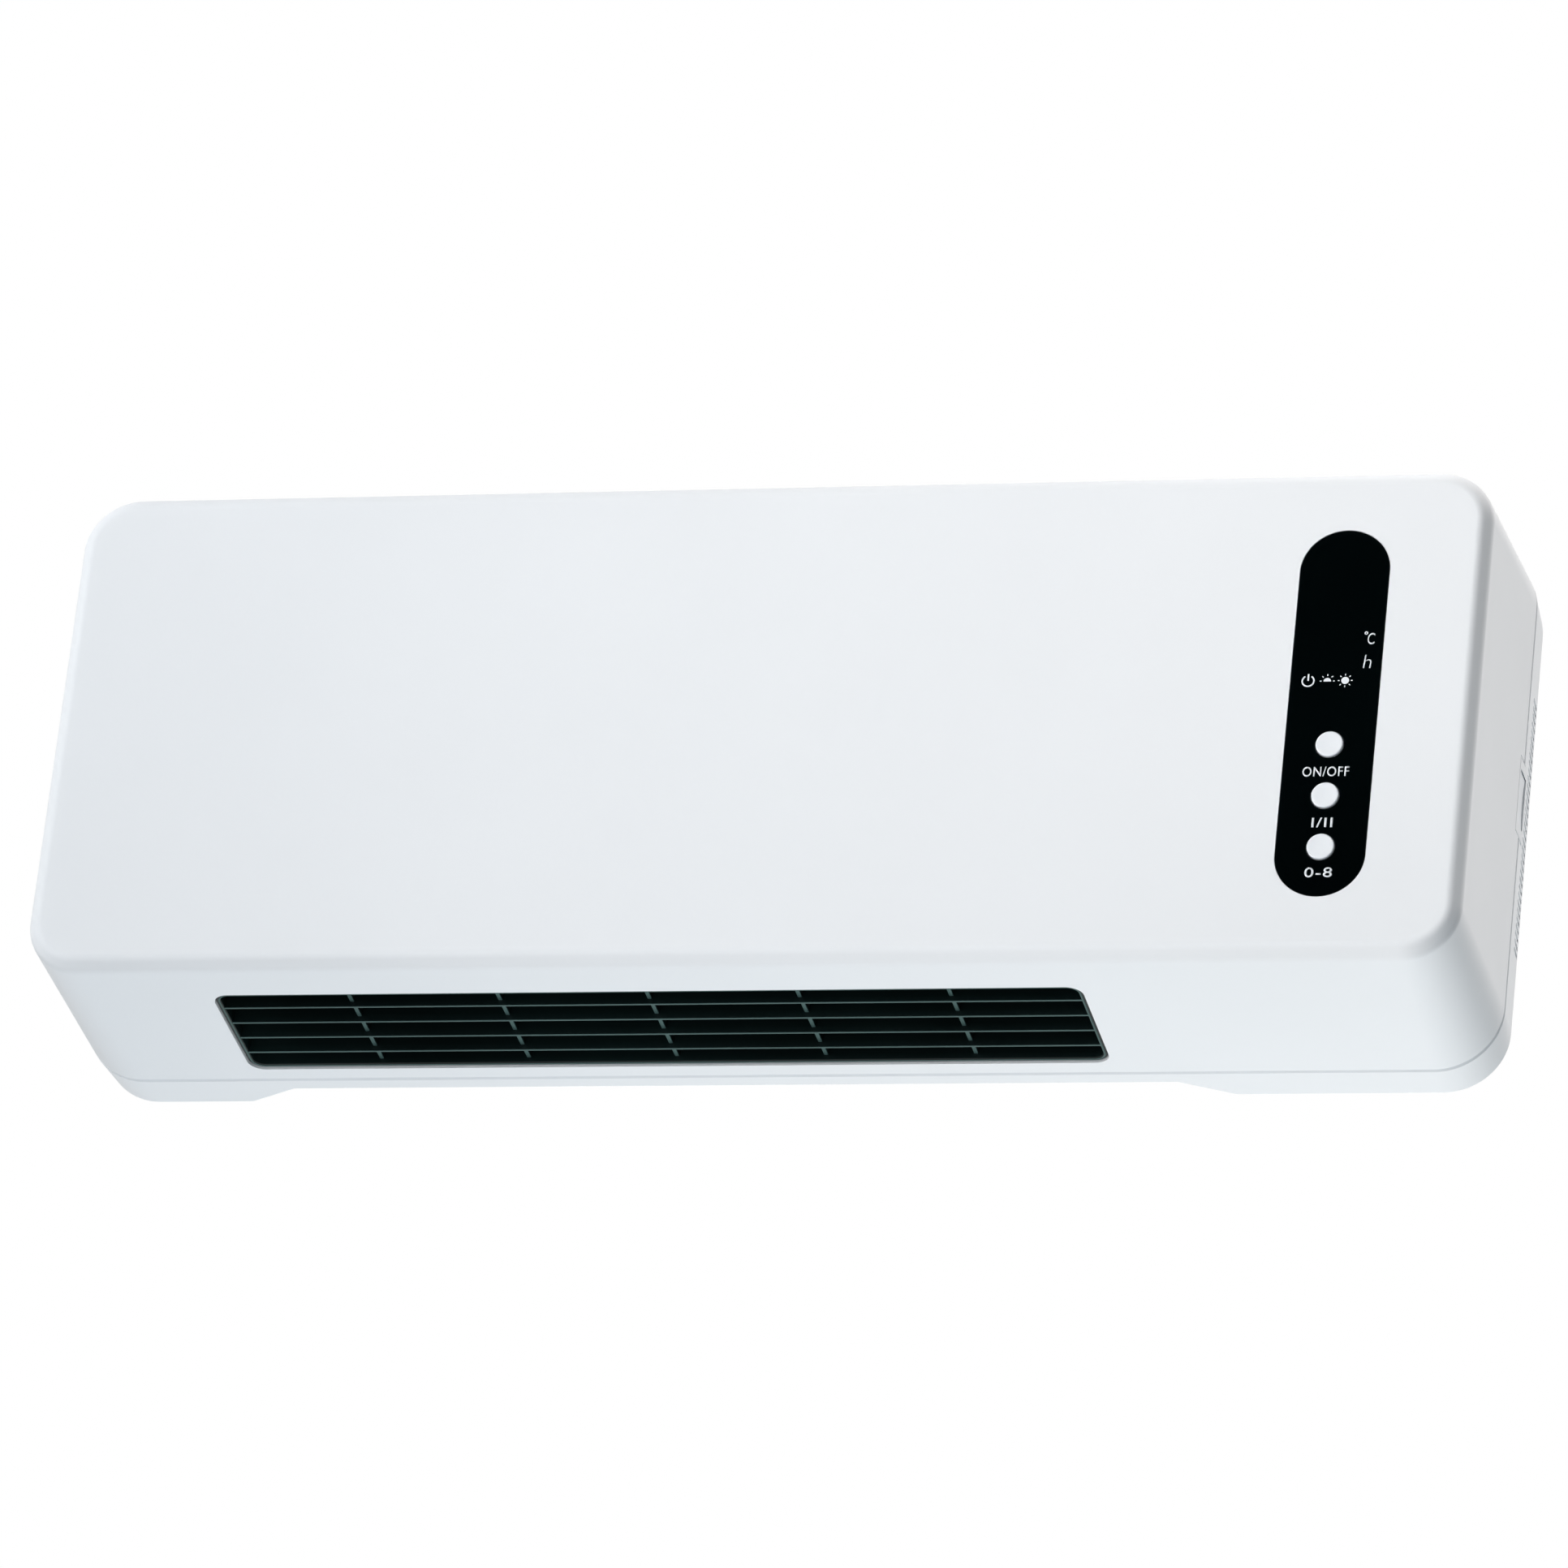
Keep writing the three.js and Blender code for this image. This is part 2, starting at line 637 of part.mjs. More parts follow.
function frontCasing() {
  const outside = [
    ...edgeSections(0, EDGE_RADIUS, 0),
    { depth: SEAM_DEPTH, points: casingOutline(SEAM_DEPTH, 0) },
  ];
  const inside = [
    ...edgeSections(WALL, EDGE_RADIUS - WALL, WALL),
    { depth: SEAM_DEPTH, points: casingOutline(SEAM_DEPTH, WALL) },
    { depth: SEAM_DEPTH + OVERRUN, points: casingOutline(SEAM_DEPTH, WALL) },
  ];
  const shell = loft(outside).subtract(loft(inside));
  const posts = [];
  for (const [x, z] of CASE_SCREWS) {
    const top = WELL_FRONT - REST_GAP;
    const grip = CASE_SCREW_LENGTH - WELL_FLOOR;
    posts.push(screwPost(CASE_POST_RADIUS, x, z, [WALL - OVERRUN, top], SCREW_RADIUS + REST_GAP, grip));
  }
  for (const z of BOARD_SCREWS) {
    const depths = [PAD_DEPTH - OVERRUN, BOARD_SEAT];
    posts.push(screwPost(BOARD_POST_RADIUS, PANEL_X, z, depths, SMALL_HOLE_RADIUS, SMALL_SCREW_LENGTH));
  }
  for (const foot of END_FEET) {
    const x = endScrewX(foot);
    const depths = [WALL - OVERRUN, END_PLATE_FRONT - REST_GAP];
    posts.push(screwPost(END_POST_RADIUS, x, END_FOOT_Z, depths, SMALL_HOLE_RADIUS, SMALL_SCREW_LENGTH));
  }
  const pad = stadium(PANEL_X, PANEL_Z, PANEL_WIDTH + 2 * PAD_MARGIN, PANEL_HEIGHT + 2 * PAD_MARGIN);
  const padSolid = prismY(pad, [WALL - OVERRUN, PAD_DEPTH]);
  const body = union([shell, padSolid, ...posts.map((entry) => entry.post)]);
  const pocketGrow = 2 * LENS_CLEARANCE;
  const pocket = stadium(PANEL_X, PANEL_Z, PANEL_WIDTH + pocketGrow, PANEL_HEIGHT + pocketGrow);
  const window = roundedShape(
    PANEL_X - WINDOW_WIDTH / 2,
    PANEL_X + WINDOW_WIDTH / 2,
    WINDOW_BOTTOM,
    WINDOW_TOP,
    WALL,
    SMALL_CORNER_STEPS,
  );
  const buttonHole = BUTTON_RADIUS + SLIDE_CLEARANCE;
  const opening = roundedShape(GRILLE_LEFT, GRILLE_RIGHT, GRILLE_FRONT, GRILLE_REAR, GRILLE_RADIUS);
  const below = undersideAt(BODY_DEPTH) - OVERRUN;
  return cut(body, [
    prismY(pocket, [-OVERRUN, POCKET_DEPTH]),
    prismY(window, [0, PAD_DEPTH + OVERRUN]),
    ...BUTTON_HEIGHTS.map((z) => rodY(buttonHole, PANEL_X, [0, PAD_DEPTH + OVERRUN], z)),
    ...posts.map((entry) => entry.pilot),
    prismZ(opening, [below, DUCT_BOTTOM]),
    mainSwitchNotch(),
  ]);
}

// The intake recess as a solid, grown by a wall all round where asked
function recessBlock(growth) {
  const slope = RECESS_DEPTH / RECESS_RAMP;
  const shift = growth * (Math.hypot(1, slope) / slope - 1 / slope);
  const floor = RECESS_FLOOR - growth;
  const mouth = BODY_DEPTH + OVERRUN;
  const run = (mouth - floor) / slope;
  const left = RECESS_LEFT - shift;
  const right = RECESS_RIGHT + shift;
  const shape = polygon([
    [left, floor],
    [right, floor],
    [right + run, mouth],
    [left - run, mouth],
  ]);
  return prismZ(shape, [undersideAt(BODY_DEPTH) - BODY_DEPTH, RECESS_TOP + growth]);
}

function keyhole(x) {
  const slot = KEYHOLE_SLOT / 2;
  const depths = past([BACK_INSIDE, BODY_DEPTH]);
  const head = rodY(KEYHOLE_HEAD / 2, x, depths, HANG_HEIGHT - KEYHOLE_RISE, SMALL_SIDES);
  const neck = block(about(x, slot), depths, [HANG_HEIGHT - KEYHOLE_RISE, HANG_HEIGHT]);
  const seat = rodY(slot, x, depths, HANG_HEIGHT, SMALL_SIDES);
  return union([head, neck, seat]);
}

function intakeSlots() {
  const slots = [];
  const middle = (RECESS_LEFT + RECESS_RIGHT) / 2;
  for (let column = 0; column < INTAKE_COLUMNS; column++) {
    const x = middle + (column - (INTAKE_COLUMNS - 1) / 2) * INTAKE_COLUMN_PITCH;
    for (let row = 0; row < INTAKE_ROWS; row++) {
      const z = INTAKE_LOWEST + row * INTAKE_ROW_PITCH;
      slots.push(
        block(
          about(x, INTAKE_SLOT_LENGTH / 2),
          past([RECESS_INSIDE, RECESS_FLOOR]),
          about(z, INTAKE_SLOT_HEIGHT / 2),
        ),
      );
    }
  }
  return slots;
}

function sideSlots() {
  const slots = [];
  const rear = BODY_DEPTH - SIDE_SLOT_BACK_MARGIN;
  for (let row = 0; row < SIDE_SLOTS; row++) {
    const z = SIDE_SLOT_LOWEST + row * SIDE_SLOT_PITCH;
    const heights = about(z, SIDE_SLOT_HEIGHT / 2);
    for (const side of [-1, 1]) {
      const near = side * (SIDE_AT_SEAM - 2 * WALL);
      const far = side * (SIDE_AT_SEAM + WALL);
      slots.push(block(between(near, far), [rear - SIDE_SLOT_LENGTH, rear], heights));
    }
  }
  return slots;
}

const POWER_HOLES = [
  [POWER_LEFT + POWER_HOLE_INSET, POWER_BOTTOM + POWER_HEIGHT - POWER_HOLE_INSET],
  [POWER_LEFT + POWER_WIDTH - POWER_HOLE_INSET, POWER_BOTTOM + POWER_HOLE_INSET],
];

function rearCover() {
  const outside = [
    { depth: COVER_FRONT, points: casingOutline(COVER_FRONT, COVER_INSET) },
    { depth: BODY_DEPTH - COVER_EDGE, points: casingOutline(BODY_DEPTH, COVER_INSET + COVER_TAPER) },
    { depth: BODY_DEPTH, points: casingOutline(BODY_DEPTH, COVER_INSET + COVER_TAPER + COVER_EDGE) },
  ];
  const inside = [
    { depth: COVER_FRONT - OVERRUN, points: casingOutline(COVER_FRONT, COVER_INSET + WALL) },
    { depth: BACK_INSIDE, points: casingOutline(BODY_DEPTH, COVER_INSET + COVER_TAPER + WALL) },
  ];
  const hollow = loft(inside).subtract(recessBlock(WALL));
  const shell = loft(outside).subtract(recessBlock(0)).subtract(hollow);
  const lipInset = WALL + SLIDE_CLEARANCE;
  const lipStart = SEAM_DEPTH - LIP_REACH;
  const lipEnd = COVER_FRONT + WALL;
  const lipOuter = loft([
    { depth: lipStart, points: casingOutline(lipStart, lipInset) },
    { depth: SEAM_DEPTH, points: casingOutline(SEAM_DEPTH, lipInset) },
    { depth: lipEnd, points: casingOutline(SEAM_DEPTH, lipInset) },
  ]);
  const lipInner = loft([
    { depth: lipStart - OVERRUN, points: casingOutline(lipStart, lipInset + LIP_WALL) },
    { depth: SEAM_DEPTH, points: casingOutline(SEAM_DEPTH, lipInset + LIP_WALL) },
    { depth: lipEnd + OVERRUN, points: casingOutline(SEAM_DEPTH, lipInset + LIP_WALL) },
  ]);
  const wells = CASE_SCREWS.map(([x, z]) => rodY(WELL_RADIUS, x, [WELL_FRONT, BODY_DEPTH - COVER_EDGE], z));
  const posts = POWER_HOLES.map(([x, z]) => {
    const seat = POWER_DEPTH + BOARD_THICKNESS + REST_GAP;
    return rodY(POWER_POST_RADIUS, x, [seat, BACK_INSIDE + OVERRUN], z, SMALL_SIDES);
  });
  const body = union([shell, lipOuter.subtract(lipInner), ...wells, ...posts]);
  const headBore = SCREW_HEAD_RADIUS + SLIDE_CLEARANCE;
  const shankBore = SCREW_RADIUS + REST_GAP;
  const pilotReach = POWER_DEPTH + SMALL_SCREW_LENGTH + REST_GAP;
  return cut(body, [
    ...CASE_SCREWS.map(([x, z]) => rodY(headBore, x, [WELL_FRONT + WELL_FLOOR, BODY_DEPTH + OVERRUN], z)),
    ...CASE_SCREWS.map(([x, z]) => rodY(shankBore, x, [WELL_FRONT - OVERRUN, BODY_DEPTH], z, SMALL_SIDES)),
    ...POWER_HOLES.map(([x, z]) =>
      rodY(SMALL_HOLE_RADIUS, x, [POWER_DEPTH, pilotReach], z, SMALL_SIDES),
    ),
    rodY(GLAND_RADIUS + SLIDE_CLEARANCE, GLAND_X, past([RECESS_INSIDE, RECESS_FLOOR]), GLAND_Z),
    keyhole(-KEYHOLE_SPACING / 2),
    keyhole(KEYHOLE_SPACING / 2),
    ...intakeSlots(),
    ...sideSlots(),
    mainSwitchNotch(),
  ]);
}

// ---- Outlet grille, level, with z = 0 on the underside of the casing and y as the depth ----

function outletGrille() {
  const gap = SLIDE_CLEARANCE;
  const left = GRILLE_LEFT + gap;
  const right = GRILLE_RIGHT - gap;
  const front = GRILLE_FRONT + gap;
  const rear = GRILLE_REAR - gap;
  const top = GRILLE_SINK + BAR_HEIGHT;
  const radius = GRILLE_RADIUS - gap;
  const frameTop = top + FRAME_RISE;
  const frame = prismZ(roundedShape(left, right, front, rear, radius), [GRILLE_SINK, frameTop]);
  const spread = GRILLE_FLANGE + gap;
  const flange = prismZ(
    roundedShape(left - spread, right + spread, front - spread, rear + spread, radius),
    [FLANGE_LEVEL, FLANGE_LEVEL + FLANGE_THICKNESS],
  );
  const rim = GRILLE_FRAME;
  const openShape = roundedShape(left + rim, right - rim, front + rim, rear - rim, radius - rim);
  const parts = [cut(union([frame, flange]), [prismZ(openShape, [0, frameTop + OVERRUN])])];
  const pitch = (rear - front) / (BAR_COUNT + 1);
  for (let bar = 1; bar <= BAR_COUNT; bar++) {
    const y = front + bar * pitch;
    const across = [left + OVERRUN, right - OVERRUN];
    parts.push(block(across, about(y, BAR_THICKNESS / 2), [GRILLE_SINK, top]));
  }
  const middle = (GRILLE_LEFT + GRILLE_RIGHT) / 2;
  for (let rib = 0; rib < RIB_COUNT; rib++) {
    const x = middle + (rib - (RIB_COUNT - 1) / 2) * RIB_PITCH;
    const heights = [GRILLE_SINK + RIB_SETBACK, top - RIB_TOP_STEP];
    const depths = [front + OVERRUN, rear - OVERRUN];
    parts.push(block(about(x, RIB_THICKNESS / 2), depths, heights));
  }
  return union(parts);
}

// ---- Control panel ----

function controlPanelLens() {
  const plate = prismY(stadium(PANEL_X, PANEL_Z, PANEL_WIDTH, PANEL_HEIGHT), [0, LENS_THICKNESS]);
  const hole = BUTTON_RADIUS + SLIDE_CLEARANCE;
  return cut(plate, BUTTON_HEIGHTS.map((z) => rodY(hole, PANEL_X, past([0, LENS_THICKNESS]), z)));
}

function button(z) {
  const flangeEnd = BUTTON_BACK + BUTTON_FLANGE;
  const cap = new THREE.LatheGeometry(
    [
      new THREE.Vector2(0, flangeEnd + BUTTON_STEM),
      new THREE.Vector2(BUTTON_STEM_RADIUS, flangeEnd + BUTTON_STEM),
      new THREE.Vector2(BUTTON_STEM_RADIUS, flangeEnd),
      new THREE.Vector2(BUTTON_FLANGE_RADIUS, flangeEnd),
      new THREE.Vector2(BUTTON_FLANGE_RADIUS, BUTTON_BACK),
      new THREE.Vector2(BUTTON_RADIUS, BUTTON_BACK),
      new THREE.Vector2(BUTTON_RADIUS, -BUTTON_PROUD + BUTTON_CHAMFER),
      new THREE.Vector2(BUTTON_RADIUS - BUTTON_CHAMFER, -BUTTON_PROUD),
      new THREE.Vector2(0, -BUTTON_PROUD),
    ].reverse(),
    ROUND_SIDES,
  );
  cap.translate(PANEL_X, 0, z);
  return toSolid(cap);
}

const PLUNGER_FRONT = BUTTON_BACK + BUTTON_FLANGE + BUTTON_STEM + REST_GAP;

function plunger(z) {
  return rodY(PLUNGER_RADIUS, PANEL_X, [PLUNGER_FRONT, PLUNGER_FRONT + PLUNGER_LENGTH], z, SMALL_SIDES);
}

function tactSwitch(z) {
  const half = SWITCH_BODY / 2;
  const body = block(about(PANEL_X, half), [SWITCH_FRONT, BOARD_SEAT], about(z, half));
  const bottom = PLUNGER_FRONT + PLUNGER_LENGTH + BUTTON_TRAVEL + REST_GAP;
  const depths = [SWITCH_FRONT - OVERRUN, bottom];
  return cut(body, [rodY(PLUNGER_RADIUS + SLIDE_CLEARANCE, PANEL_X, depths, z, SMALL_SIDES)]);
}

function controlBoard() {
  const half = BOARD_WIDTH / 2;
  const back = BOARD_DEPTH + BOARD_THICKNESS;
  const heights = about(PANEL_Z, BOARD_HEIGHT / 2);
  const board = block(about(PANEL_X, half), [BOARD_DEPTH, back], heights);
  const depths = past([BOARD_DEPTH, back]);
  return cut(board, BOARD_SCREWS.map((z) => rodY(SMALL_HOLE_RADIUS, PANEL_X, depths, z, SMALL_SIDES)));
}

function onControlBoard(x, z, width, height, front) {
  const across = [PANEL_X + x - width / 2, PANEL_X + x + width / 2];
  return block(across, [front, BOARD_SEAT], about(z, height / 2));
}

function ledDisplay() {
  const body = onControlBoard(DISPLAY_X, DISPLAY_Z, DISPLAY_WIDTH, DISPLAY_HEIGHT, POCKET_DEPTH + REST_GAP);
  const faceDepth = POCKET_DEPTH + REST_GAP + SLIDE_CLEARANCE;
  const wide = DISPLAY_WIDTH / 2 - DISPLAY_EDGE;
  const tall = DISPLAY_HEIGHT / 2 - DISPLAY_EDGE;
  const face = block(
    about(PANEL_X + DISPLAY_X, wide),
    [POCKET_DEPTH, faceDepth],
    about(DISPLAY_Z, tall),
  );
  return cut(body, [face]);
}

function indicatorLightGuide() {
  return onControlBoard(GUIDE_X, GUIDE_Z, GUIDE_LENGTH, GUIDE_HEIGHT, POCKET_DEPTH + REST_GAP);
}

function irReceiver() {
  const body = onControlBoard(0, RECEIVER_Z, RECEIVER_SIZE, RECEIVER_SIZE, PAD_DEPTH);
  const span = [POCKET_DEPTH + REST_GAP, PAD_DEPTH + OVERRUN];
  const dome = rodY(RECEIVER_LENS_RADIUS, PANEL_X, span, RECEIVER_Z, SMALL_SIDES);
  return union([body, dome]);
}

// ---- Power board ----

function powerBoard() {
  const back = POWER_DEPTH + BOARD_THICKNESS;
  const board = block(
    [POWER_LEFT, POWER_LEFT + POWER_WIDTH],
    [POWER_DEPTH, back],
    [POWER_BOTTOM, POWER_BOTTOM + POWER_HEIGHT],
  );
  const depths = past([POWER_DEPTH, back]);
  return cut(board, POWER_HOLES.map(([x, z]) => rodY(SMALL_HOLE_RADIUS, x, depths, z, SMALL_SIDES)));
}

function onPowerBoard(x, z, width, depth, height) {
  const seat = POWER_DEPTH - REST_GAP;
  return block(about(x, width / 2), [seat - depth, seat], about(z, height / 2));
}

const POWER_MIDDLE = POWER_LEFT + POWER_WIDTH / 2;
const RELAY_Z = POWER_BOTTOM + POWER_HEIGHT - POWER_HOLE_INSET - RELAY_HEIGHT;
const BLOCK_Z = POWER_BOTTOM + POWER_HOLE_INSET + BLOCK_HEIGHT / 2;

function relay(index) {
  const x = POWER_MIDDLE + (index - 0.5) * RELAY_PITCH;
  return onPowerBoard(x, RELAY_Z, RELAY_WIDTH, RELAY_DEPTH, RELAY_HEIGHT);
}

function terminalBlock() {
  const x = POWER_LEFT + BLOCK_WIDTH / 2 + BLOCK_INSET;
  const body = onPowerBoard(x, BLOCK_Z, BLOCK_WIDTH, BLOCK_DEPTH, BLOCK_HEIGHT);
  const front = POWER_DEPTH - REST_GAP - BLOCK_DEPTH;
  const holes = [];
  for (let hole = 0; hole < TERMINALS; hole++) {
    const across = x + ((hole - (TERMINALS - 1) / 2) * BLOCK_WIDTH) / TERMINALS;
    const depths = [front - OVERRUN, front + BLOCK_DEPTH / 2];
    holes.push(rodY(TERMINAL_RADIUS, across, depths, BLOCK_Z, SMALL_SIDES));
  }
  return cut(body, holes);
}

function suppressionCapacitor() {
  const z = (RELAY_Z - RELAY_HEIGHT / 2 + BLOCK_Z + BLOCK_HEIGHT / 2) / 2;
  return onPowerBoard(POWER_MIDDLE, z, CAPACITOR_WIDTH, CAPACITOR_DEPTH, CAPACITOR_HEIGHT);
}

// ---- Fan ----

// A blade's cross-section: a thin curved strip from the rim inwards
function bladeShape(angle) {
  const outer = [];
  const inner = [];
  for (let step = 0; step <= BLADE_STEPS; step++) {
    const share = step / BLADE_STEPS;
    const radius = ROTOR_RADIUS - BLADE_CHORD * share;
    const turn = angle + BLADE_SWEEP_ANGLE * Math.sin((Math.PI / 2) * share);
    const half = BLADE_THICKNESS / 2 / radius;
    outer.push([radius * Math.cos(turn - half), radius * Math.sin(turn - half)]);
    inner.push([radius * Math.cos(turn + half), radius * Math.sin(turn + half)]);
  }
  const points = [...outer, ...inner.reverse()];
  return polygon(points.map(([y, z]) => [FAN_Y + y, FAN_Z + z]));
}

function fanRotor() {
  const discRadius = ROTOR_RADIUS + REST_GAP;
  const eyeRadius = ROTOR_RADIUS - BLADE_CHORD - DISC_RIM;
  const blades = [];
  for (let blade = 0; blade < BLADE_COUNT; blade++) {
    const angle = (2 * Math.PI * blade) / BLADE_COUNT;
    blades.push(prismX(bladeShape(angle), [ROTOR_LEFT + OVERRUN, ROTOR_RIGHT - OVERRUN]));
  }
  const discs = [];
  const gaps = MIDDLE_DISCS + 1;
  const spread = ROTOR_RIGHT - ROTOR_LEFT - DISC_THICKNESS;
  for (let disc = 0; disc <= gaps; disc++) {
    const left = ROTOR_LEFT + (spread * disc) / gaps;
    const whole = rodX(discRadius, [left, left + DISC_THICKNESS], FAN_Y, FAN_Z, 2 * BLADE_COUNT);
    const middle = disc > 0 && disc < gaps;
    const eye = rodX(eyeRadius, past([left, left + DISC_THICKNESS]), FAN_Y, FAN_Z);
    discs.push(middle ? whole.subtract(eye) : whole);
  }
  const bossEnd = ROTOR_LEFT + DISC_THICKNESS + STUB_BOSS_LENGTH;
  const boss = rodX(STUB_BOSS_RADIUS, [ROTOR_LEFT + OVERRUN, bossEnd], FAN_Y, FAN_Z);
  const whole = union([...discs, ...blades, boss]);
  return cut(whole, [
    rodX(STUB_RADIUS + REST_GAP, past([ROTOR_LEFT, bossEnd]), FAN_Y, FAN_Z, SMALL_SIDES),
    rodX(HUB_RADIUS + REST_GAP, past([ROTOR_RIGHT - DISC_THICKNESS, ROTOR_RIGHT]), FAN_Y, FAN_Z),
  ]);
}

function fanHub() {
  const flangeRight = ROTOR_RIGHT - DISC_THICKNESS - REST_GAP;
  const left = flangeRight - HUB_FLANGE;
  const body = rodX(HUB_RADIUS, [left, left + HUB_LENGTH], FAN_Y, FAN_Z);
  const flange = rodX(HUB_FLANGE_RADIUS, [left, flangeRight], FAN_Y, FAN_Z);
  const bore = rodX(SHAFT_RADIUS + REST_GAP, past([left, left + HUB_LENGTH]), FAN_Y, FAN_Z, SMALL_SIDES);
  return body.add(flange).subtract(bore);
}

const BUSH_LEFT = DUCT_LEFT - END_PLATE - COLLAR_LENGTH;

function fanStubShaft() {
  const right = ROTOR_LEFT + DISC_THICKNESS + STUB_BOSS_LENGTH;
  return rodX(STUB_RADIUS, [right - STUB_LENGTH, right], FAN_Y, FAN_Z, SMALL_SIDES);
}

function bearingBush() {
  const span = [BUSH_LEFT - BUSH_PROUD, BUSH_LEFT - BUSH_PROUD + BUSH_LENGTH];
  const bore = rodX(STUB_RADIUS + RUN_CLEARANCE, past(span), FAN_Y, FAN_Z, SMALL_SIDES);
  return rodX(BUSH_RADIUS, span, FAN_Y, FAN_Z).subtract(bore);
}

function bearingRubberMount() {
  const span = [BUSH_LEFT - BUSH_PROUD, BUSH_LEFT - BUSH_PROUD + MOUNT_LENGTH];
  const bore = rodX(BUSH_RADIUS + REST_GAP, past(span), FAN_Y, FAN_Z);
  return rodX(MOUNT_RADIUS, span, FAN_Y, FAN_Z).subtract(bore);
}

// ---- Air duct ----

function polar(radius, degrees) {
  const angle = THREE.MathUtils.degToRad(degrees);
  return [FAN_Y + radius * Math.cos(angle), FAN_Z + radius * Math.sin(angle)];
}

// The curved front wall of the duct, wrapped round the rotor and then straight down the duct's front
function fanScroll() {
  const points = [];
  for (let step = 0; step <= SCROLL_STEPS; step++) {
    const share = step / SCROLL_STEPS;
    const angle = SCROLL_START_ANGLE + (SCROLL_END_ANGLE - SCROLL_START_ANGLE) * share;
    const radius = ROTOR_RADIUS + SCROLL_CLEARANCE + SCROLL_GROWTH * share;
    const [y, z] = polar(radius, angle);
    points.push([Math.max(y, DUCT_FRONT), z]);
  }
  points.push([DUCT_FRONT, points[SCROLL_STEPS][1] - 2 * SHEET]);
  points.push([DUCT_FRONT, DUCT_BOTTOM]);
  const shape = sheetShape(points, -SHEET);
  return prismX(shape, [DUCT_LEFT + REST_GAP, DUCT_RIGHT - REST_GAP]);
}

// The rear wall of the duct, with its edge close to the rotor
function fanTongue() {
  const [y, z] = polar(ROTOR_RADIUS + SCROLL_CLEARANCE, TONGUE_ANGLE);
  const points = [
    [y, z],
    [DUCT_REAR, TONGUE_KNEE_Z],
    [DUCT_REAR, DUCT_BOTTOM],
  ];
  const shape = sheetShape(points, SHEET);
  return prismX(shape, [DUCT_LEFT + REST_GAP, DUCT_RIGHT - REST_GAP]);
}

function endPlate(foot) {
  const near = foot.face;
  const far = foot.face - foot.side * END_PLATE;
  const span = between(near, far);
  const corner = [END_FOOT_THICKNESS, SMALL_CORNER_STEPS];
  const outline = roundedShape(END_PLATE_FRONT, SEAM_DEPTH, DUCT_BOTTOM, END_PLATE_TOP, ...corner);
  const plate = prismX(outline, span);
  const reach = near + foot.side * END_FOOT_WIDTH;
  const across = between(far, reach);
  const depths = [END_PLATE_FRONT, END_PLATE_FRONT + END_FOOT_THICKNESS];
  const half = END_FOOT_HEIGHT / 2;
  const tab = block(across, depths, about(END_FOOT_Z, half));
  const hole = rodY(SMALL_HOLE_RADIUS, endScrewX(foot), past(depths), END_FOOT_Z, SMALL_SIDES);
  return plate.add(tab).subtract(hole);
}

function leftEndPlate() {
  const foot = END_FEET[0];
  const collar = rodX(MOUNT_RADIUS + COLLAR_WALL, [BUSH_LEFT, DUCT_LEFT - END_PLATE / 2], FAN_Y, FAN_Z);
  const bore = rodX(MOUNT_RADIUS + REST_GAP, past([BUSH_LEFT, DUCT_LEFT]), FAN_Y, FAN_Z);
  return endPlate(foot).add(collar).subtract(bore);
}

function elementY(index) {
  return (DUCT_FRONT + DUCT_REAR) / 2 + (index - 0.5) * ELEMENT_SPACING;
}

const HEATER_MIDDLE = HEATER_TOP - HEATER_HEIGHT / 2;

function tabSlots(span) {
  return [0, 1].map((index) => {
    const y = elementY(index);
    const wide = TAB_THICKNESS / 2 + SLIDE_CLEARANCE;
    const tall = TAB_HEIGHT / 2 + SLIDE_CLEARANCE;
    return block(span, about(y, wide), about(HEATER_MIDDLE, tall));
  });
}

function rightEndPlate() {
  const foot = END_FEET[1];
  const span = past([DUCT_RIGHT, DUCT_RIGHT + END_PLATE]);
  const shaftHole = rodX(HUB_FLANGE_RADIUS, span, FAN_Y, FAN_Z);
  const padBottom = FAN_Z + MOTOR_BRACKET_HEIGHT / 2 + PAD_CLEARANCE;
  const pads = [-1, 1].map((side) => {
    const y = FAN_Y + side * (STATOR_WIDTH / 2 - MOTOR_PAD);
    const depths = about(y, MOTOR_PAD / 2);
    const across = [DUCT_RIGHT + END_PLATE / 2, MOTOR_LEFT - REST_GAP];
    return block(across, depths, [padBottom, FAN_Z + STATOR_ABOVE - SLIDE_CLEARANCE]);
  });
  return cut(union([endPlate(foot), ...pads]), [shaftHole, ...tabSlots(span)]);
}

// ---- Heating elements ----

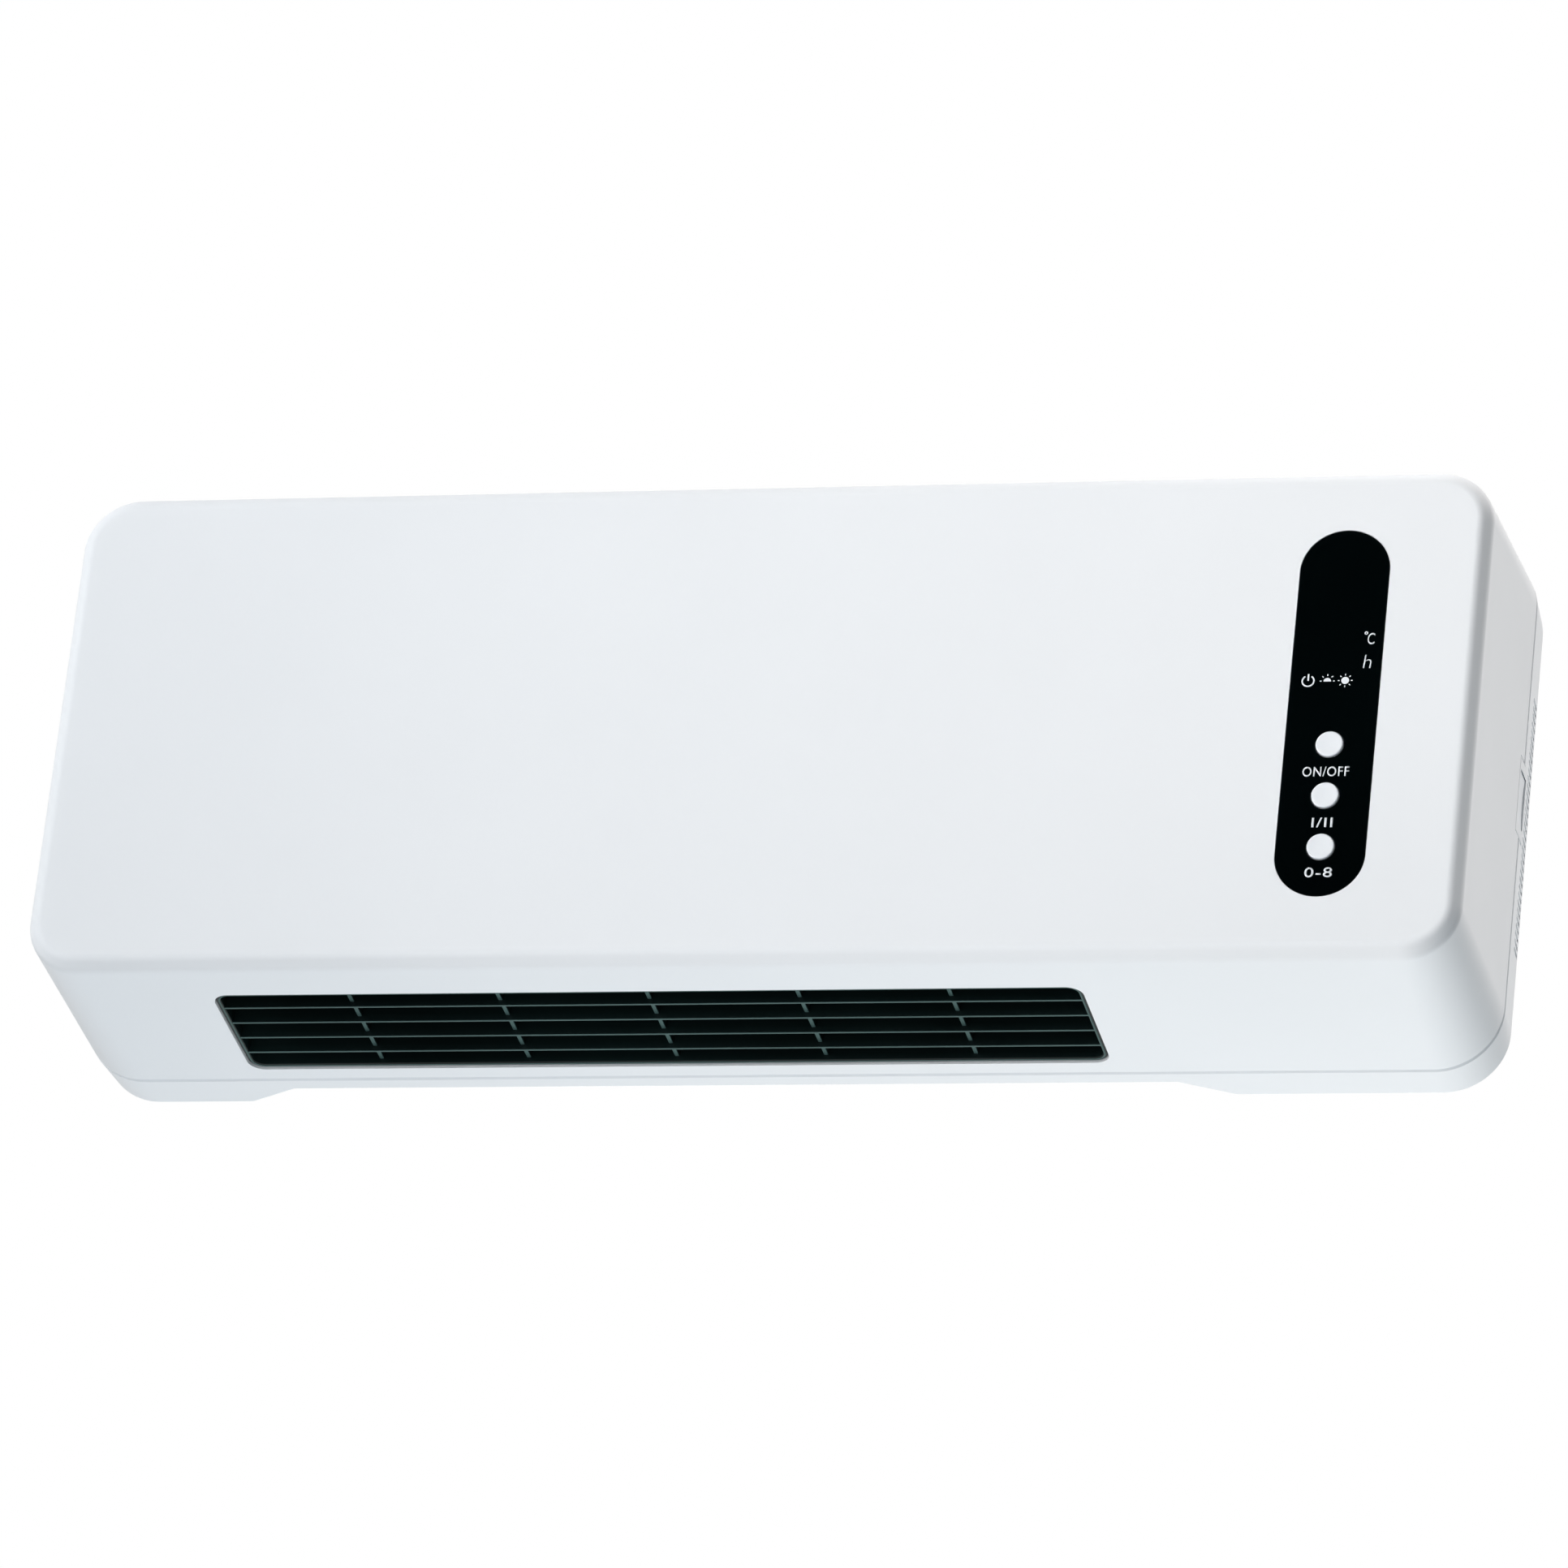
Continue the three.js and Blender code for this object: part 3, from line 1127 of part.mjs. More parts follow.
function heaterElement(index) {
  const y = elementY(index);
  const left = DUCT_LEFT + REST_GAP + BRACKET_THICKNESS / 2;
  const right = DUCT_RIGHT - REST_GAP - BRACKET_THICKNESS / 2;
  const heights = [HEATER_BOTTOM, HEATER_TOP];
  const core = block([left, right], about(y, HEATER_CORE / 2), heights);
  const finLeft = DUCT_LEFT + BRACKET_THICKNESS + 2 * REST_GAP;
  const finRight = DUCT_RIGHT - BRACKET_THICKNESS - 2 * REST_GAP;
  const reach = HEATER_CORE / 2 + FIN_REACH;
  const strips = [-1, 1].map((side) => {
    const edge = y + side * reach;
    const inner = edge - side * SIDE_STRIP;
    return block([finLeft, finRight], between(edge, inner), heights);
  });
  const fins = [];
  const pitch = (finRight - finLeft - FIN_THICKNESS) / (FIN_COUNT - 1);
  for (let fin = 0; fin < FIN_COUNT; fin++) {
    const x = finLeft + fin * pitch;
    const depths = [y - reach + SIDE_STRIP / 2, y + reach - SIDE_STRIP / 2];
    const tall = [HEATER_BOTTOM + FIN_THICKNESS, HEATER_TOP - FIN_THICKNESS];
    fins.push(block([x, x + FIN_THICKNESS], depths, tall));
  }
  const tab = block(
    [right - OVERRUN, right + TAB_LENGTH],
    about(y, TAB_THICKNESS / 2),
    about(HEATER_MIDDLE, TAB_HEIGHT / 2),
  );
  return union([core, ...strips, ...fins, tab]);
}

function heaterBracket(side) {
  const wall = side < 0 ? DUCT_LEFT + REST_GAP : DUCT_RIGHT - REST_GAP;
  const inner = wall - side * BRACKET_THICKNESS;
  const span = between(wall, inner);
  const plate = block(
    span,
    [DUCT_FRONT + REST_GAP, DUCT_REAR - REST_GAP],
    [HEATER_BOTTOM - BRACKET_MARGIN, HEATER_TOP + BRACKET_MARGIN],
  );
  const socketEnd = wall - (side * BRACKET_THICKNESS) / 2 + side * REST_GAP;
  const socket = between(socketEnd, inner - side);
  const sockets = [0, 1].map((index) => {
    const half = HEATER_CORE / 2 + REST_GAP;
    const depths = [elementY(index) - half, elementY(index) + half];
    return block(socket, depths, [HEATER_BOTTOM - REST_GAP, HEATER_TOP + REST_GAP]);
  });
  const slots = side > 0 ? tabSlots(past(span)) : [];
  return cut(plate, [...sockets, ...slots]);
}

function thermalCutout() {
  const x = (GRILLE_LEFT + GRILLE_RIGHT) / 2;
  const back = DUCT_FRONT - SHEET - REST_GAP;
  const disc = rodY(CUTOUT_RADIUS, x, [back - CUTOUT_LENGTH, back], CUTOUT_Z);
  const reach = CUTOUT_STRAP_REACH;
  const half = CUTOUT_STRAP_HEIGHT / 2;
  const strap = block(about(x, reach), [back - CUTOUT_STRAP, back], about(CUTOUT_Z, half));
  return disc.add(strap);
}

function thermalFuse() {
  const x = (GRILLE_LEFT + GRILLE_RIGHT) / 2 + FUSE_SPACING;
  const y = DUCT_FRONT - SHEET - REST_GAP - FUSE_RADIUS;
  const body = rodX(FUSE_RADIUS, about(x, FUSE_LENGTH / 2), y, CUTOUT_Z, SMALL_SIDES);
  const wire = rodX(FUSE_WIRE_RADIUS, about(x, FUSE_LENGTH), y, CUTOUT_Z, LEAD_SIDES);
  return body.add(wire);
}

// ---- Motor ----

function motorStator() {
  const half = STATOR_WIDTH / 2;
  const bottom = FAN_Z - STATOR_BELOW;
  const stack = prismX(
    roundedShape(FAN_Y - half, FAN_Y + half, bottom, FAN_Z + STATOR_ABOVE, WALL, SMALL_CORNER_STEPS),
    [MOTOR_LEFT, MOTOR_RIGHT],
  );
  const span = past([MOTOR_LEFT, MOTOR_RIGHT]);
  const windowHalf = COIL_WINDOW_WIDTH / 2;
  const window = block(
    span,
    about(FAN_Y, windowHalf),
    [bottom + COIL_LEG, FAN_Z - COIL_WINDOW_TOP],
  );
  return cut(stack, [rodX(BORE_RADIUS, span, FAN_Y, FAN_Z), window]);
}

function motorCoil() {
  const legTop = FAN_Z - STATOR_BELOW + COIL_LEG;
  const legBottom = FAN_Z - STATOR_BELOW;
  const half = COIL_WINDOW_WIDTH / 2 - SLIDE_CLEARANCE;
  const grow = COIL_BUILD + SLIDE_CLEARANCE;
  const outer = roundedShape(
    MOTOR_LEFT - grow,
    MOTOR_RIGHT + grow,
    legBottom - grow,
    legTop + grow,
    WALL,
    SMALL_CORNER_STEPS,
  );
  const body = prismY(outer, about(FAN_Y, half));
  const gap = SLIDE_CLEARANCE;
  const core = block(
    [MOTOR_LEFT - gap, MOTOR_RIGHT + gap],
    past(about(FAN_Y, half)),
    [legBottom - gap, legTop + gap],
  );
  return body.subtract(core);
}

function motorRotor() {
  const hubLeft = ROTOR_RIGHT - DISC_THICKNESS - REST_GAP - HUB_FLANGE;
  const core = rodX(BORE_RADIUS - AIR_GAP, [MOTOR_LEFT, MOTOR_RIGHT], FAN_Y, FAN_Z);
  const shaftEnd = MOTOR_RIGHT + REST_GAP + MOTOR_BRACKET + SHAFT_TAIL;
  return core.add(rodX(SHAFT_RADIUS, [hubLeft, shaftEnd], FAN_Y, FAN_Z, SMALL_SIDES));
}

// A cast bearing bridge across the stator, one at each end of the shaft
function motorBracket(side) {
  const near = side < 0 ? MOTOR_LEFT - REST_GAP : MOTOR_RIGHT + REST_GAP;
  const far = near + side * MOTOR_BRACKET;
  const half = STATOR_WIDTH / 2;
  const tall = MOTOR_BRACKET_HEIGHT / 2;
  const span = between(near, far);
  const sides = [FAN_Y - half, FAN_Y + half, FAN_Z - tall, FAN_Z + tall];
  const bridge = prismX(roundedShape(...sides, WALL, SMALL_CORNER_STEPS), span);
  const relief = rodX(BORE_RADIUS, [near - 2 * REST_GAP, near + 2 * REST_GAP], FAN_Y, FAN_Z);
  const bore = rodX(SHAFT_RADIUS + RUN_CLEARANCE, past(span), FAN_Y, FAN_Z, SMALL_SIDES);
  return cut(bridge, [relief, bore]);
}

// ---- Main switch ----

function mainSwitchHousing() {
  const outer = SIDE_AT_SEAM;
  const inner = outer - MAIN_SWITCH_REACH + SLIDE_CLEARANCE;
  const halfWidth = MAIN_SWITCH_WIDTH / 2;
  const halfHeight = MAIN_SWITCH_HEIGHT / 2;
  const body = block(
    [inner, outer],
    about(SEAM_DEPTH, halfWidth),
    about(MAIN_SWITCH_Z, halfHeight),
  );
  const open = halfWidth - MAIN_SWITCH_WALL;
  const bowl = rodY(ROCKER_RADIUS + SLIDE_CLEARANCE, ROCKER_X, about(SEAM_DEPTH, open), MAIN_SWITCH_Z);
  const floor = block(
    [ROCKER_X - ROCKER_ROOM, outer + OVERRUN],
    about(SEAM_DEPTH, open),
    about(MAIN_SWITCH_Z, halfHeight),
  );
  const well = bowl.intersect(floor);
  const pin = halfWidth - MAIN_SWITCH_WALL + PIVOT_REACH + REST_GAP;
  const pivots = rodY(PIVOT_RADIUS + REST_GAP, ROCKER_X, about(SEAM_DEPTH, pin), MAIN_SWITCH_Z);
  const tabs = [-1, 1].map((side) => {
    const z = MAIN_SWITCH_Z + (side * MAIN_SWITCH_HEIGHT) / 4;
    const tall = TAB_HEIGHT / 2;
    const wide = TAB_THICKNESS / 2;
    return block([inner - SWITCH_TAB, inner + OVERRUN], about(SEAM_DEPTH, wide), about(z, tall));
  });
  return union([cut(body, [well, pivots]), ...tabs]);
}

function mainSwitchRocker() {
  const open = MAIN_SWITCH_WIDTH / 2 - MAIN_SWITCH_WALL - SLIDE_CLEARANCE;
  const points = [];
  const end = THREE.MathUtils.degToRad(ROCKER_HALF_ANGLE);
  const base = ROCKER_RADIUS * Math.cos(end);
  for (const side of [1, -1]) {
    for (let step = 0; step <= PADDLE_STEPS; step++) {
      const share = side > 0 ? 1 - step / PADDLE_STEPS : step / PADDLE_STEPS;
      const angle = side * (end + ((Math.PI / 2 - end) / 2) * share);
      points.push([ROCKER_RADIUS * Math.cos(angle), ROCKER_RADIUS * Math.sin(angle)]);
    }
    if (side > 0) points.push([base - ROCKER_DISH, 0]);
  }
  points.push([-PIVOT_RADIUS, 0]);
  const tilt = THREE.MathUtils.degToRad(ROCKER_TILT_ANGLE);
  const turned = points.map(([out, up]) => [
    ROCKER_X + out * Math.cos(tilt) + up * Math.sin(tilt),
    MAIN_SWITCH_Z - out * Math.sin(tilt) + up * Math.cos(tilt),
  ]);
  const paddle = prismY(polygon(turned), about(SEAM_DEPTH, open));
  const reach = MAIN_SWITCH_WIDTH / 2 - MAIN_SWITCH_WALL + PIVOT_REACH;
  const pin = rodY(PIVOT_RADIUS, ROCKER_X, about(SEAM_DEPTH, reach), MAIN_SWITCH_Z, SMALL_SIDES);
  return paddle.add(pin);
}

// ---- Cord gland ----

function cordGland() {
  const body = rodY(GLAND_RADIUS, GLAND_X, [RECESS_INSIDE - GLAND_LIP, RECESS_FLOOR + GLAND_LIP], GLAND_Z);
  const inside = [RECESS_INSIDE - REST_GAP - GLAND_LIP, RECESS_INSIDE - REST_GAP];
  const outside = [RECESS_FLOOR + REST_GAP, RECESS_FLOOR + REST_GAP + GLAND_LIP];
  const flanges = [inside, outside].map((depths) => rodY(GLAND_FLANGE, GLAND_X, depths, GLAND_Z));
  const bore = rodY(GLAND_BORE, GLAND_X, [inside[0] - 1, outside[1] + 1], GLAND_Z);
  return union([body, ...flanges]).subtract(bore);
}

// ---- Screws ----

// A screw driven along y: its head starts at headDepth and its tip lies on the given side
function screw(shank, head, headThickness, length, x, z, headDepth, direction, crossed) {
  const shoulder = headDepth + direction * headThickness;
  const tip = shoulder + direction * length;
  const body = rodY(shank, x, between(headDepth, tip), z, SMALL_SIDES);
  const cap = rodY(head, x, between(headDepth, shoulder), z, SMALL_SIDES);
  const reach = head * SLOT_REACH;
  const half = headThickness * SLOT_HALF_WIDTH;
  const from = between(headDepth - direction * OVERRUN, headDepth + direction * headThickness * SLOT_DEPTH);
  const cross = [
    block(about(x, reach), from, about(z, half)),
    block(about(x, half), from, about(z, reach)),
  ];
  return cut(body.add(cap), crossed ? cross : [cross[0]]);
}

function caseScrew([x, z]) {
  const headDepth = WELL_FRONT + WELL_FLOOR + REST_GAP + SCREW_HEAD;
  const length = CASE_SCREW_LENGTH - 2 * REST_GAP;
  return screw(SCREW_RADIUS, SCREW_HEAD_RADIUS, SCREW_HEAD, length, x, z, headDepth, -1, true);
}

function smallScrew(x, z, seat, direction) {
  const headDepth = seat - direction * (SMALL_HEAD + REST_GAP);
  const sizes = [SMALL_SCREW_RADIUS, SMALL_HEAD_RADIUS, SMALL_HEAD, SMALL_SCREW_LENGTH];
  return screw(...sizes, x, z, headDepth, direction, false);
}

// ---- Leads ----

const TAB_END = DUCT_RIGHT - REST_GAP - BRACKET_THICKNESS / 2 + TAB_LENGTH;

function controlRibbon() {
  const top = PANEL_Z - BOARD_HEIGHT / 4;
  const start = BOARD_DEPTH + BOARD_THICKNESS + REST_GAP;
  const end = POWER_DEPTH - REST_GAP;
  const x = POWER_LEFT + POWER_WIDTH - RIBBON_RADIUS - LEAD_EDGE;
  const z = POWER_BOTTOM + POWER_HEIGHT - RIBBON_RADIUS - LEAD_EDGE;
  return lead(
    [
      [PANEL_X, start, top],
      [PANEL_X, start + RIBBON_RUN, top],
      [PANEL_X + RIBBON_RUN, start + 3 * RIBBON_RUN, top + LEAD_SAG],
      [x, end - 3 * RIBBON_RUN, z + LEAD_SAG],
      [x, end - RIBBON_RUN, z],
      [x, end, z],
    ],
    RIBBON_RADIUS,
  );
}

function motorLead() {
  const start = MOTOR_RIGHT + COIL_BUILD + 2 * SLIDE_CLEARANCE + REST_GAP;
  const z = FAN_Z - STATOR_BELOW + COIL_LEG / 2;
  const endX = POWER_LEFT + LEAD_RADIUS + LEAD_EDGE;
  const endZ = POWER_BOTTOM + POWER_HEIGHT / 2;
  return lead(
    [
      [start, FAN_Y, z],
      [start + LEAD_RUN, FAN_Y, z],
      [endX - LEAD_RUN, FAN_Y + 2 * LEAD_RUN, z - LEAD_SAG],
      [endX, POWER_DEPTH - 3 * LEAD_RUN, endZ],
      [endX, POWER_DEPTH - LEAD_RUN, endZ],
      [endX, POWER_DEPTH - REST_GAP, endZ],
    ],
    LEAD_RADIUS,
  );
}

function heaterLead() {
  const x = TAB_END + REST_GAP;
  const y = elementY(0);
  const endX = POWER_LEFT + LEAD_RADIUS + LEAD_EDGE;
  const endZ = POWER_BOTTOM + POWER_HEIGHT / 3;
  return lead(
    [
      [x, y, HEATER_MIDDLE],
      [x + LEAD_RUN, y, HEATER_MIDDLE],
      [x + 4 * LEAD_RUN, y + 2 * LEAD_RUN, HEATER_MIDDLE - LEAD_SAG],
      [endX, POWER_DEPTH - 4 * LEAD_RUN, endZ],
      [endX, POWER_DEPTH - LEAD_RUN, endZ],
      [endX, POWER_DEPTH - REST_GAP, endZ],
    ],
    LEAD_RADIUS,
  );
}

function switchLead() {
  const start = SIDE_AT_SEAM - MAIN_SWITCH_REACH + SLIDE_CLEARANCE - SWITCH_TAB - REST_GAP;
  const z = MAIN_SWITCH_Z - MAIN_SWITCH_HEIGHT / 4;
  const endX = POWER_MIDDLE;
  const endZ = POWER_BOTTOM + POWER_HEIGHT - LEAD_RADIUS - LEAD_EDGE;
  return lead(
    [
      [start, SEAM_DEPTH, z],
      [start - LEAD_RUN, SEAM_DEPTH, z],
      [endX + LEAD_RUN, SEAM_DEPTH - LEAD_RUN, z - LEAD_SAG],
      [endX, POWER_DEPTH - 2 * LEAD_RUN, endZ],
      [endX, POWER_DEPTH - LEAD_RUN, endZ],
      [endX, POWER_DEPTH - REST_GAP, endZ],
    ],
    LEAD_RADIUS,
  );
}

// ---- Materials ----

function material(color, roughness, metalness = 0) {
  return new THREE.MeshStandardMaterial({ color, roughness, metalness });
}

const whiteShell = material(0xeaeef1, 0.3);
const whiteButton = material(0xe9eef1, 0.35);
const blackGrille = material(0x0c0e10, 0.5);
const blackLens = material(0x020607, 0.1);
const smokedPart = material(0x1c1c20, 0.3);
const greenBoard = material(0x1f5a34, 0.6);
const darkPart = material(0x2a2b2e, 0.6);
const bluePart = material(0x2a5fa8, 0.5);
const yellowPart = material(0xc9a227, 0.5);
const greyDuct = material(0x2f3236, 0.7);
const rotorPlastic = material(0x3a3d42, 0.6);
const rubber = material(0x1a1a1a, 0.9);
const bronze = material(0xa87b4a, 0.4, 0.9);
const steel = material(0xb8bcc0, 0.35, 1);
const laminations = material(0x6f7479, 0.5, 0.9);
const copper = material(0xa0522d, 0.45, 0.6);
const castMetal = material(0xa9adb2, 0.5, 0.9);
const aluminium = material(0xc4c8cc, 0.4, 0.9);
const ceramic = material(0xe4ddcf, 0.7);
const wireRed = material(0xb02a22, 0.6);
const wireWhite = material(0xdcdcd6, 0.6);

// ---- Assembly ----

const heater = new THREE.Group();
const body = new THREE.Group();
body.position.set(0, -BODY_DEPTH, -HANG_HEIGHT);
heater.add(body);

function add(name, solid, finish, parent = body) {
  const mesh = new THREE.Mesh(toGeometry(solid), finish);
  mesh.name = name;
  parent.add(mesh);
  return mesh;
}

add("front_casing", frontCasing(), whiteShell);
add("rear_cover", rearCover(), whiteShell);

const grilleSeat = new THREE.Group();
grilleSeat.position.set(0, 0, -FRONT_HEIGHT / 2);
grilleSeat.rotation.x = -Math.atan(FLOOR_SLOPE);
body.add(grilleSeat);
add("outlet_grille", outletGrille(), blackGrille, grilleSeat);

add("control_panel_lens", controlPanelLens(), blackLens);
["power", "mode", "timer"].forEach((name, row) => {
  const z = BUTTON_HEIGHTS[row];
  add(`${name}_button`, button(z), whiteButton);
  add(`${name}_plunger`, plunger(z), darkPart);
  add(`${name}_tact_switch`, tactSwitch(z), darkPart);
});
add("control_board", controlBoard(), greenBoard);
add("led_display", ledDisplay(), smokedPart);
add("indicator_light_guide", indicatorLightGuide(), ceramic);
add("ir_receiver", irReceiver(), smokedPart);

add("power_board", powerBoard(), greenBoard);
add("relay_low", relay(0), bluePart);
add("relay_high", relay(1), bluePart);
add("terminal_block", terminalBlock(), ceramic);
add("suppression_capacitor", suppressionCapacitor(), yellowPart);

add("fan_rotor", fanRotor(), rotorPlastic);
add("fan_hub", fanHub(), rubber);
add("fan_stub_shaft", fanStubShaft(), steel);
add("bearing_bush", bearingBush(), bronze);
add("bearing_rubber_mount", bearingRubberMount(), rubber);
add("fan_scroll", fanScroll(), greyDuct);
add("fan_tongue", fanTongue(), greyDuct);
add("left_end_plate", leftEndPlate(), greyDuct);
add("right_end_plate", rightEndPlate(), greyDuct);

add("heater_element_front", heaterElement(0), aluminium);
add("heater_element_rear", heaterElement(1), aluminium);
add("heater_bracket_left", heaterBracket(-1), ceramic);
add("heater_bracket_right", heaterBracket(1), ceramic);
add("thermal_cutout", thermalCutout(), ceramic);
add("thermal_fuse", thermalFuse(), wireWhite);

add("motor_stator", motorStator(), laminations);
add("motor_coil", motorCoil(), copper);
add("motor_rotor", motorRotor(), steel);
add("motor_bracket_inner", motorBracket(-1), castMetal);
add("motor_bracket_outer", motorBracket(1), castMetal);

add("main_switch_housing", mainSwitchHousing(), whiteShell);
add("main_switch_rocker", mainSwitchRocker(), whiteButton);
add("cord_gland", cordGland(), rubber);

add("control_ribbon", controlRibbon(), wireWhite);
add("motor_lead", motorLead(), wireWhite);
add("heater_lead", heaterLead(), wireRed);
add("switch_lead", switchLead(), wireRed);

CASE_SCREWS.forEach((place, index) => {
  add(`case_screw_${index + 1}`, caseScrew(place), steel);
});
BOARD_SCREWS.forEach((z, index) => {
  const seat = BOARD_DEPTH + BOARD_THICKNESS;
  add(`control_board_screw_${index + 1}`, smallScrew(PANEL_X, z, seat, -1), steel);
});
POWER_HOLES.forEach(([x, z], index) => {
  add(`power_board_screw_${index + 1}`, smallScrew(x, z, POWER_DEPTH, 1), steel);
});
END_FEET.forEach((foot, index) => {
  const seat = END_PLATE_FRONT + END_FOOT_THICKNESS;
  add(`end_plate_screw_${index + 1}`, smallScrew(endScrewX(foot), END_FOOT_Z, seat, -1), steel);
});

export default heater;
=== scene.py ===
"""Looks of a wall-hung bathroom fan heater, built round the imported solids.

Sizes are millimetres in the casing's own frame until row() turns them into metres:
x to the right, y the depth behind the front face, z the height above the middle of the front.
"""

import json
from math import acos, atan, cos, pi, radians, sin, tan

import bmesh
import bpy
from mathutils import Matrix, Vector


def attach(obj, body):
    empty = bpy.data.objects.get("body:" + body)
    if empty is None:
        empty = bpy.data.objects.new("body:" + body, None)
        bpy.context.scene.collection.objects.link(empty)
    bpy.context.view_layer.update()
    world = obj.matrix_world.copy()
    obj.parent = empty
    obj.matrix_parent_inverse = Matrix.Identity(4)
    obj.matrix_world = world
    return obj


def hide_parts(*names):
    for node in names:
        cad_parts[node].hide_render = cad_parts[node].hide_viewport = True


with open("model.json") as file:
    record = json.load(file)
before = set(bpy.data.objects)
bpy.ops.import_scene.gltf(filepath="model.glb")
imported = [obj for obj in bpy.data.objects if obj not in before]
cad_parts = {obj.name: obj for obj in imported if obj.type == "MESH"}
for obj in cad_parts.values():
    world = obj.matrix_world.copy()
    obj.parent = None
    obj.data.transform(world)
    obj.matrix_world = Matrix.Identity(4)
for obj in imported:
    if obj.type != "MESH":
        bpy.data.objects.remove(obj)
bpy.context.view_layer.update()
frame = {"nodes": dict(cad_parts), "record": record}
MM = 0.001
MERGE_DISTANCE = 1e-7  # metres

# ---- Sizes ----

FRONT_WIDTH = 530.0
FRONT_HEIGHT = 194.0
SEAM_DEPTH = 86.0
BODY_DEPTH = 108.0
HANG_HEIGHT = 80.0
SIDE_FLARE = 1.0
TOP_FLARE = 12.5
BOTTOM_FLARE = 4.3
CORNER_RADIUS = 20.5
CORNER_GROWTH = 4.0
EDGE_RADIUS = 5.0
EDGE_CHAMFER, CHAMFER_SOFTENING, CHAMFER_STEPS = 3.8, 1.9, 6
WALL = 2.5
SEAM_GAP = 0.4
SEAM_BREAK = 0.8  # broken edge each side of the seam
COVER_TAPER = 1.3
COVER_EDGE = 1.5  # rounding of the edge at the wall
GAP = 0.3
COVER_FRONT = SEAM_DEPTH + SEAM_GAP
BACK_INSIDE = BODY_DEPTH - WALL
SIDE_AT_SEAM = FRONT_WIDTH / 2 + SIDE_FLARE
FLOOR_SLOPE = BOTTOM_FLARE / SEAM_DEPTH
OVERRUN = 1.0  # how far a cutting tool reaches past what it cuts
SLIVER = 0.01  # keeps points apart that would otherwise meet

RECESS_LEFT, RECESS_RIGHT = -186.5, 146.3
RECESS_DEPTH, RECESS_RAMP, RECESS_TOP = 13.5, 21.0, 50.0
RECESS_FLOOR = BODY_DEPTH - RECESS_DEPTH
INTAKE_COLUMNS, INTAKE_COLUMN_PITCH, INTAKE_LENGTH = 5, 54.0, 44.0
INTAKE_ROWS, INTAKE_ROW_PITCH, INTAKE_HEIGHT, INTAKE_LOWEST = 8, 10.0, 4.0, -34.0
INTAKE_END_FLAT = 0.1
SIDE_SLOTS, SIDE_SLOT_PITCH, SIDE_SLOT_HEIGHT, SIDE_SLOT_LOWEST = 33, 3.15, 1.8, -47.0
SIDE_SLOT_DEPTHS, SIDE_SLOT_RADIUS = (96.5, 105.3), 0.7
KEYHOLE_X, KEYHOLE_HEAD, KEYHOLE_SLOT, KEYHOLE_RISE = 160.0, 10.0, 5.0, 9.0

GRILLE_LEFT, GRILLE_RIGHT = -198.4, 125.4
GRILLE_FRONT, GRILLE_REAR, GRILLE_RADIUS = 21.8, 78.1, 6.0
GRILLE_SINK, GRILLE_FRAME, GRILLE_FLANGE = 0.8, 1.8, 2.2
GRILLE_RISE = 0.5  # how far the frame stands above the bars, inside the casing
FLANGE_THICKNESS, FLANGE_INSET = 1.6, 0.5
BEAD_OUTSIDE, BEAD_INSIDE, BEAD_PROUD, BEAD_HEIGHT = 0.9, 1.5, 0.15, 1.0
BAR_COUNT, BAR_EDGE, BAR_HEIGHT = 4, 0.9, 8.0
RIB_COUNT, RIB_PITCH, RIB_THICKNESS, RIB_SETBACK, RIB_DROP = 5, 55.9, 1.6, 2.2, 0.5
FRAME_ROUNDING, BAR_ROUNDING, RIB_ROUNDING = 0.45, 0.2, 0.3
PAINTED_HIGHLIGHT_HEIGHT = 0.3  # height of the painted highlight along the lower edges

PANEL_X, PANEL_Z, PANEL_WIDTH, PANEL_HEIGHT = 213.0, -0.6, 32.7, 146.7
LENS_THICKNESS, LENS_CLEARANCE, LENS_ROUNDING = 2.0, 0.15, 0.2
PAD_DEPTH, PAD_FLOOR, PAD_MARGIN = 5.1, 2.8, 3.0
WINDOW_SIDES, WINDOW_HEIGHTS, WINDOW_RADIUS = (-13.0, 13.0), (7.5, 60.0), 2.5
BUTTON_ROWS = {"power": -13.6, "mode": -34.0, "timer": -54.4}
BUTTON_RADIUS, BUTTON_PROUD, BUTTON_BACK = 5.0, 0.8, 5.4
BUTTON_FLANGE_RADIUS, BUTTON_FLANGE, BUTTON_STEM_RADIUS, BUTTON_STEM = 6.5, 1.2, 2.2, 1.4
BUTTON_ROUNDING, BUTTON_DISH, BUTTON_DISH_SHARES = 0.55, 0.12, (0.25, 0.5, 0.75, 0.9)

PRINT = 0.03  # how far the printed signs stand proud of the lens
LETTER_SPACING = 1.1
POWER_SIGN, LOW_HEAT_SIGN, HIGH_HEAT_SIGN = (203.1, 12.0), (210.1, 11.7), (216.6, 12.0)
POWER_RING = (1.85, 2.4, 122, 418)  # inner and outer radius, first and last angle
POWER_STROKE = (90, 0.1, 2.8, 0.6)  # angle, near end, far end and width
SUN_RADIUS, HALF_SUN_RADIUS, HALF_SUN_RAY_RISE = 1.42, 1.4, 0.2
RAY = (2.05, 2.7, 0.36)  # near end, far end and width
RAY_TURN, HALF_SUN_TURN = 45, 10
DEGREE_X, DEGREE_Z, DEGREE_INSIDE, DEGREE_OUTSIDE = 222.8, 31.0, 0.3, 0.65
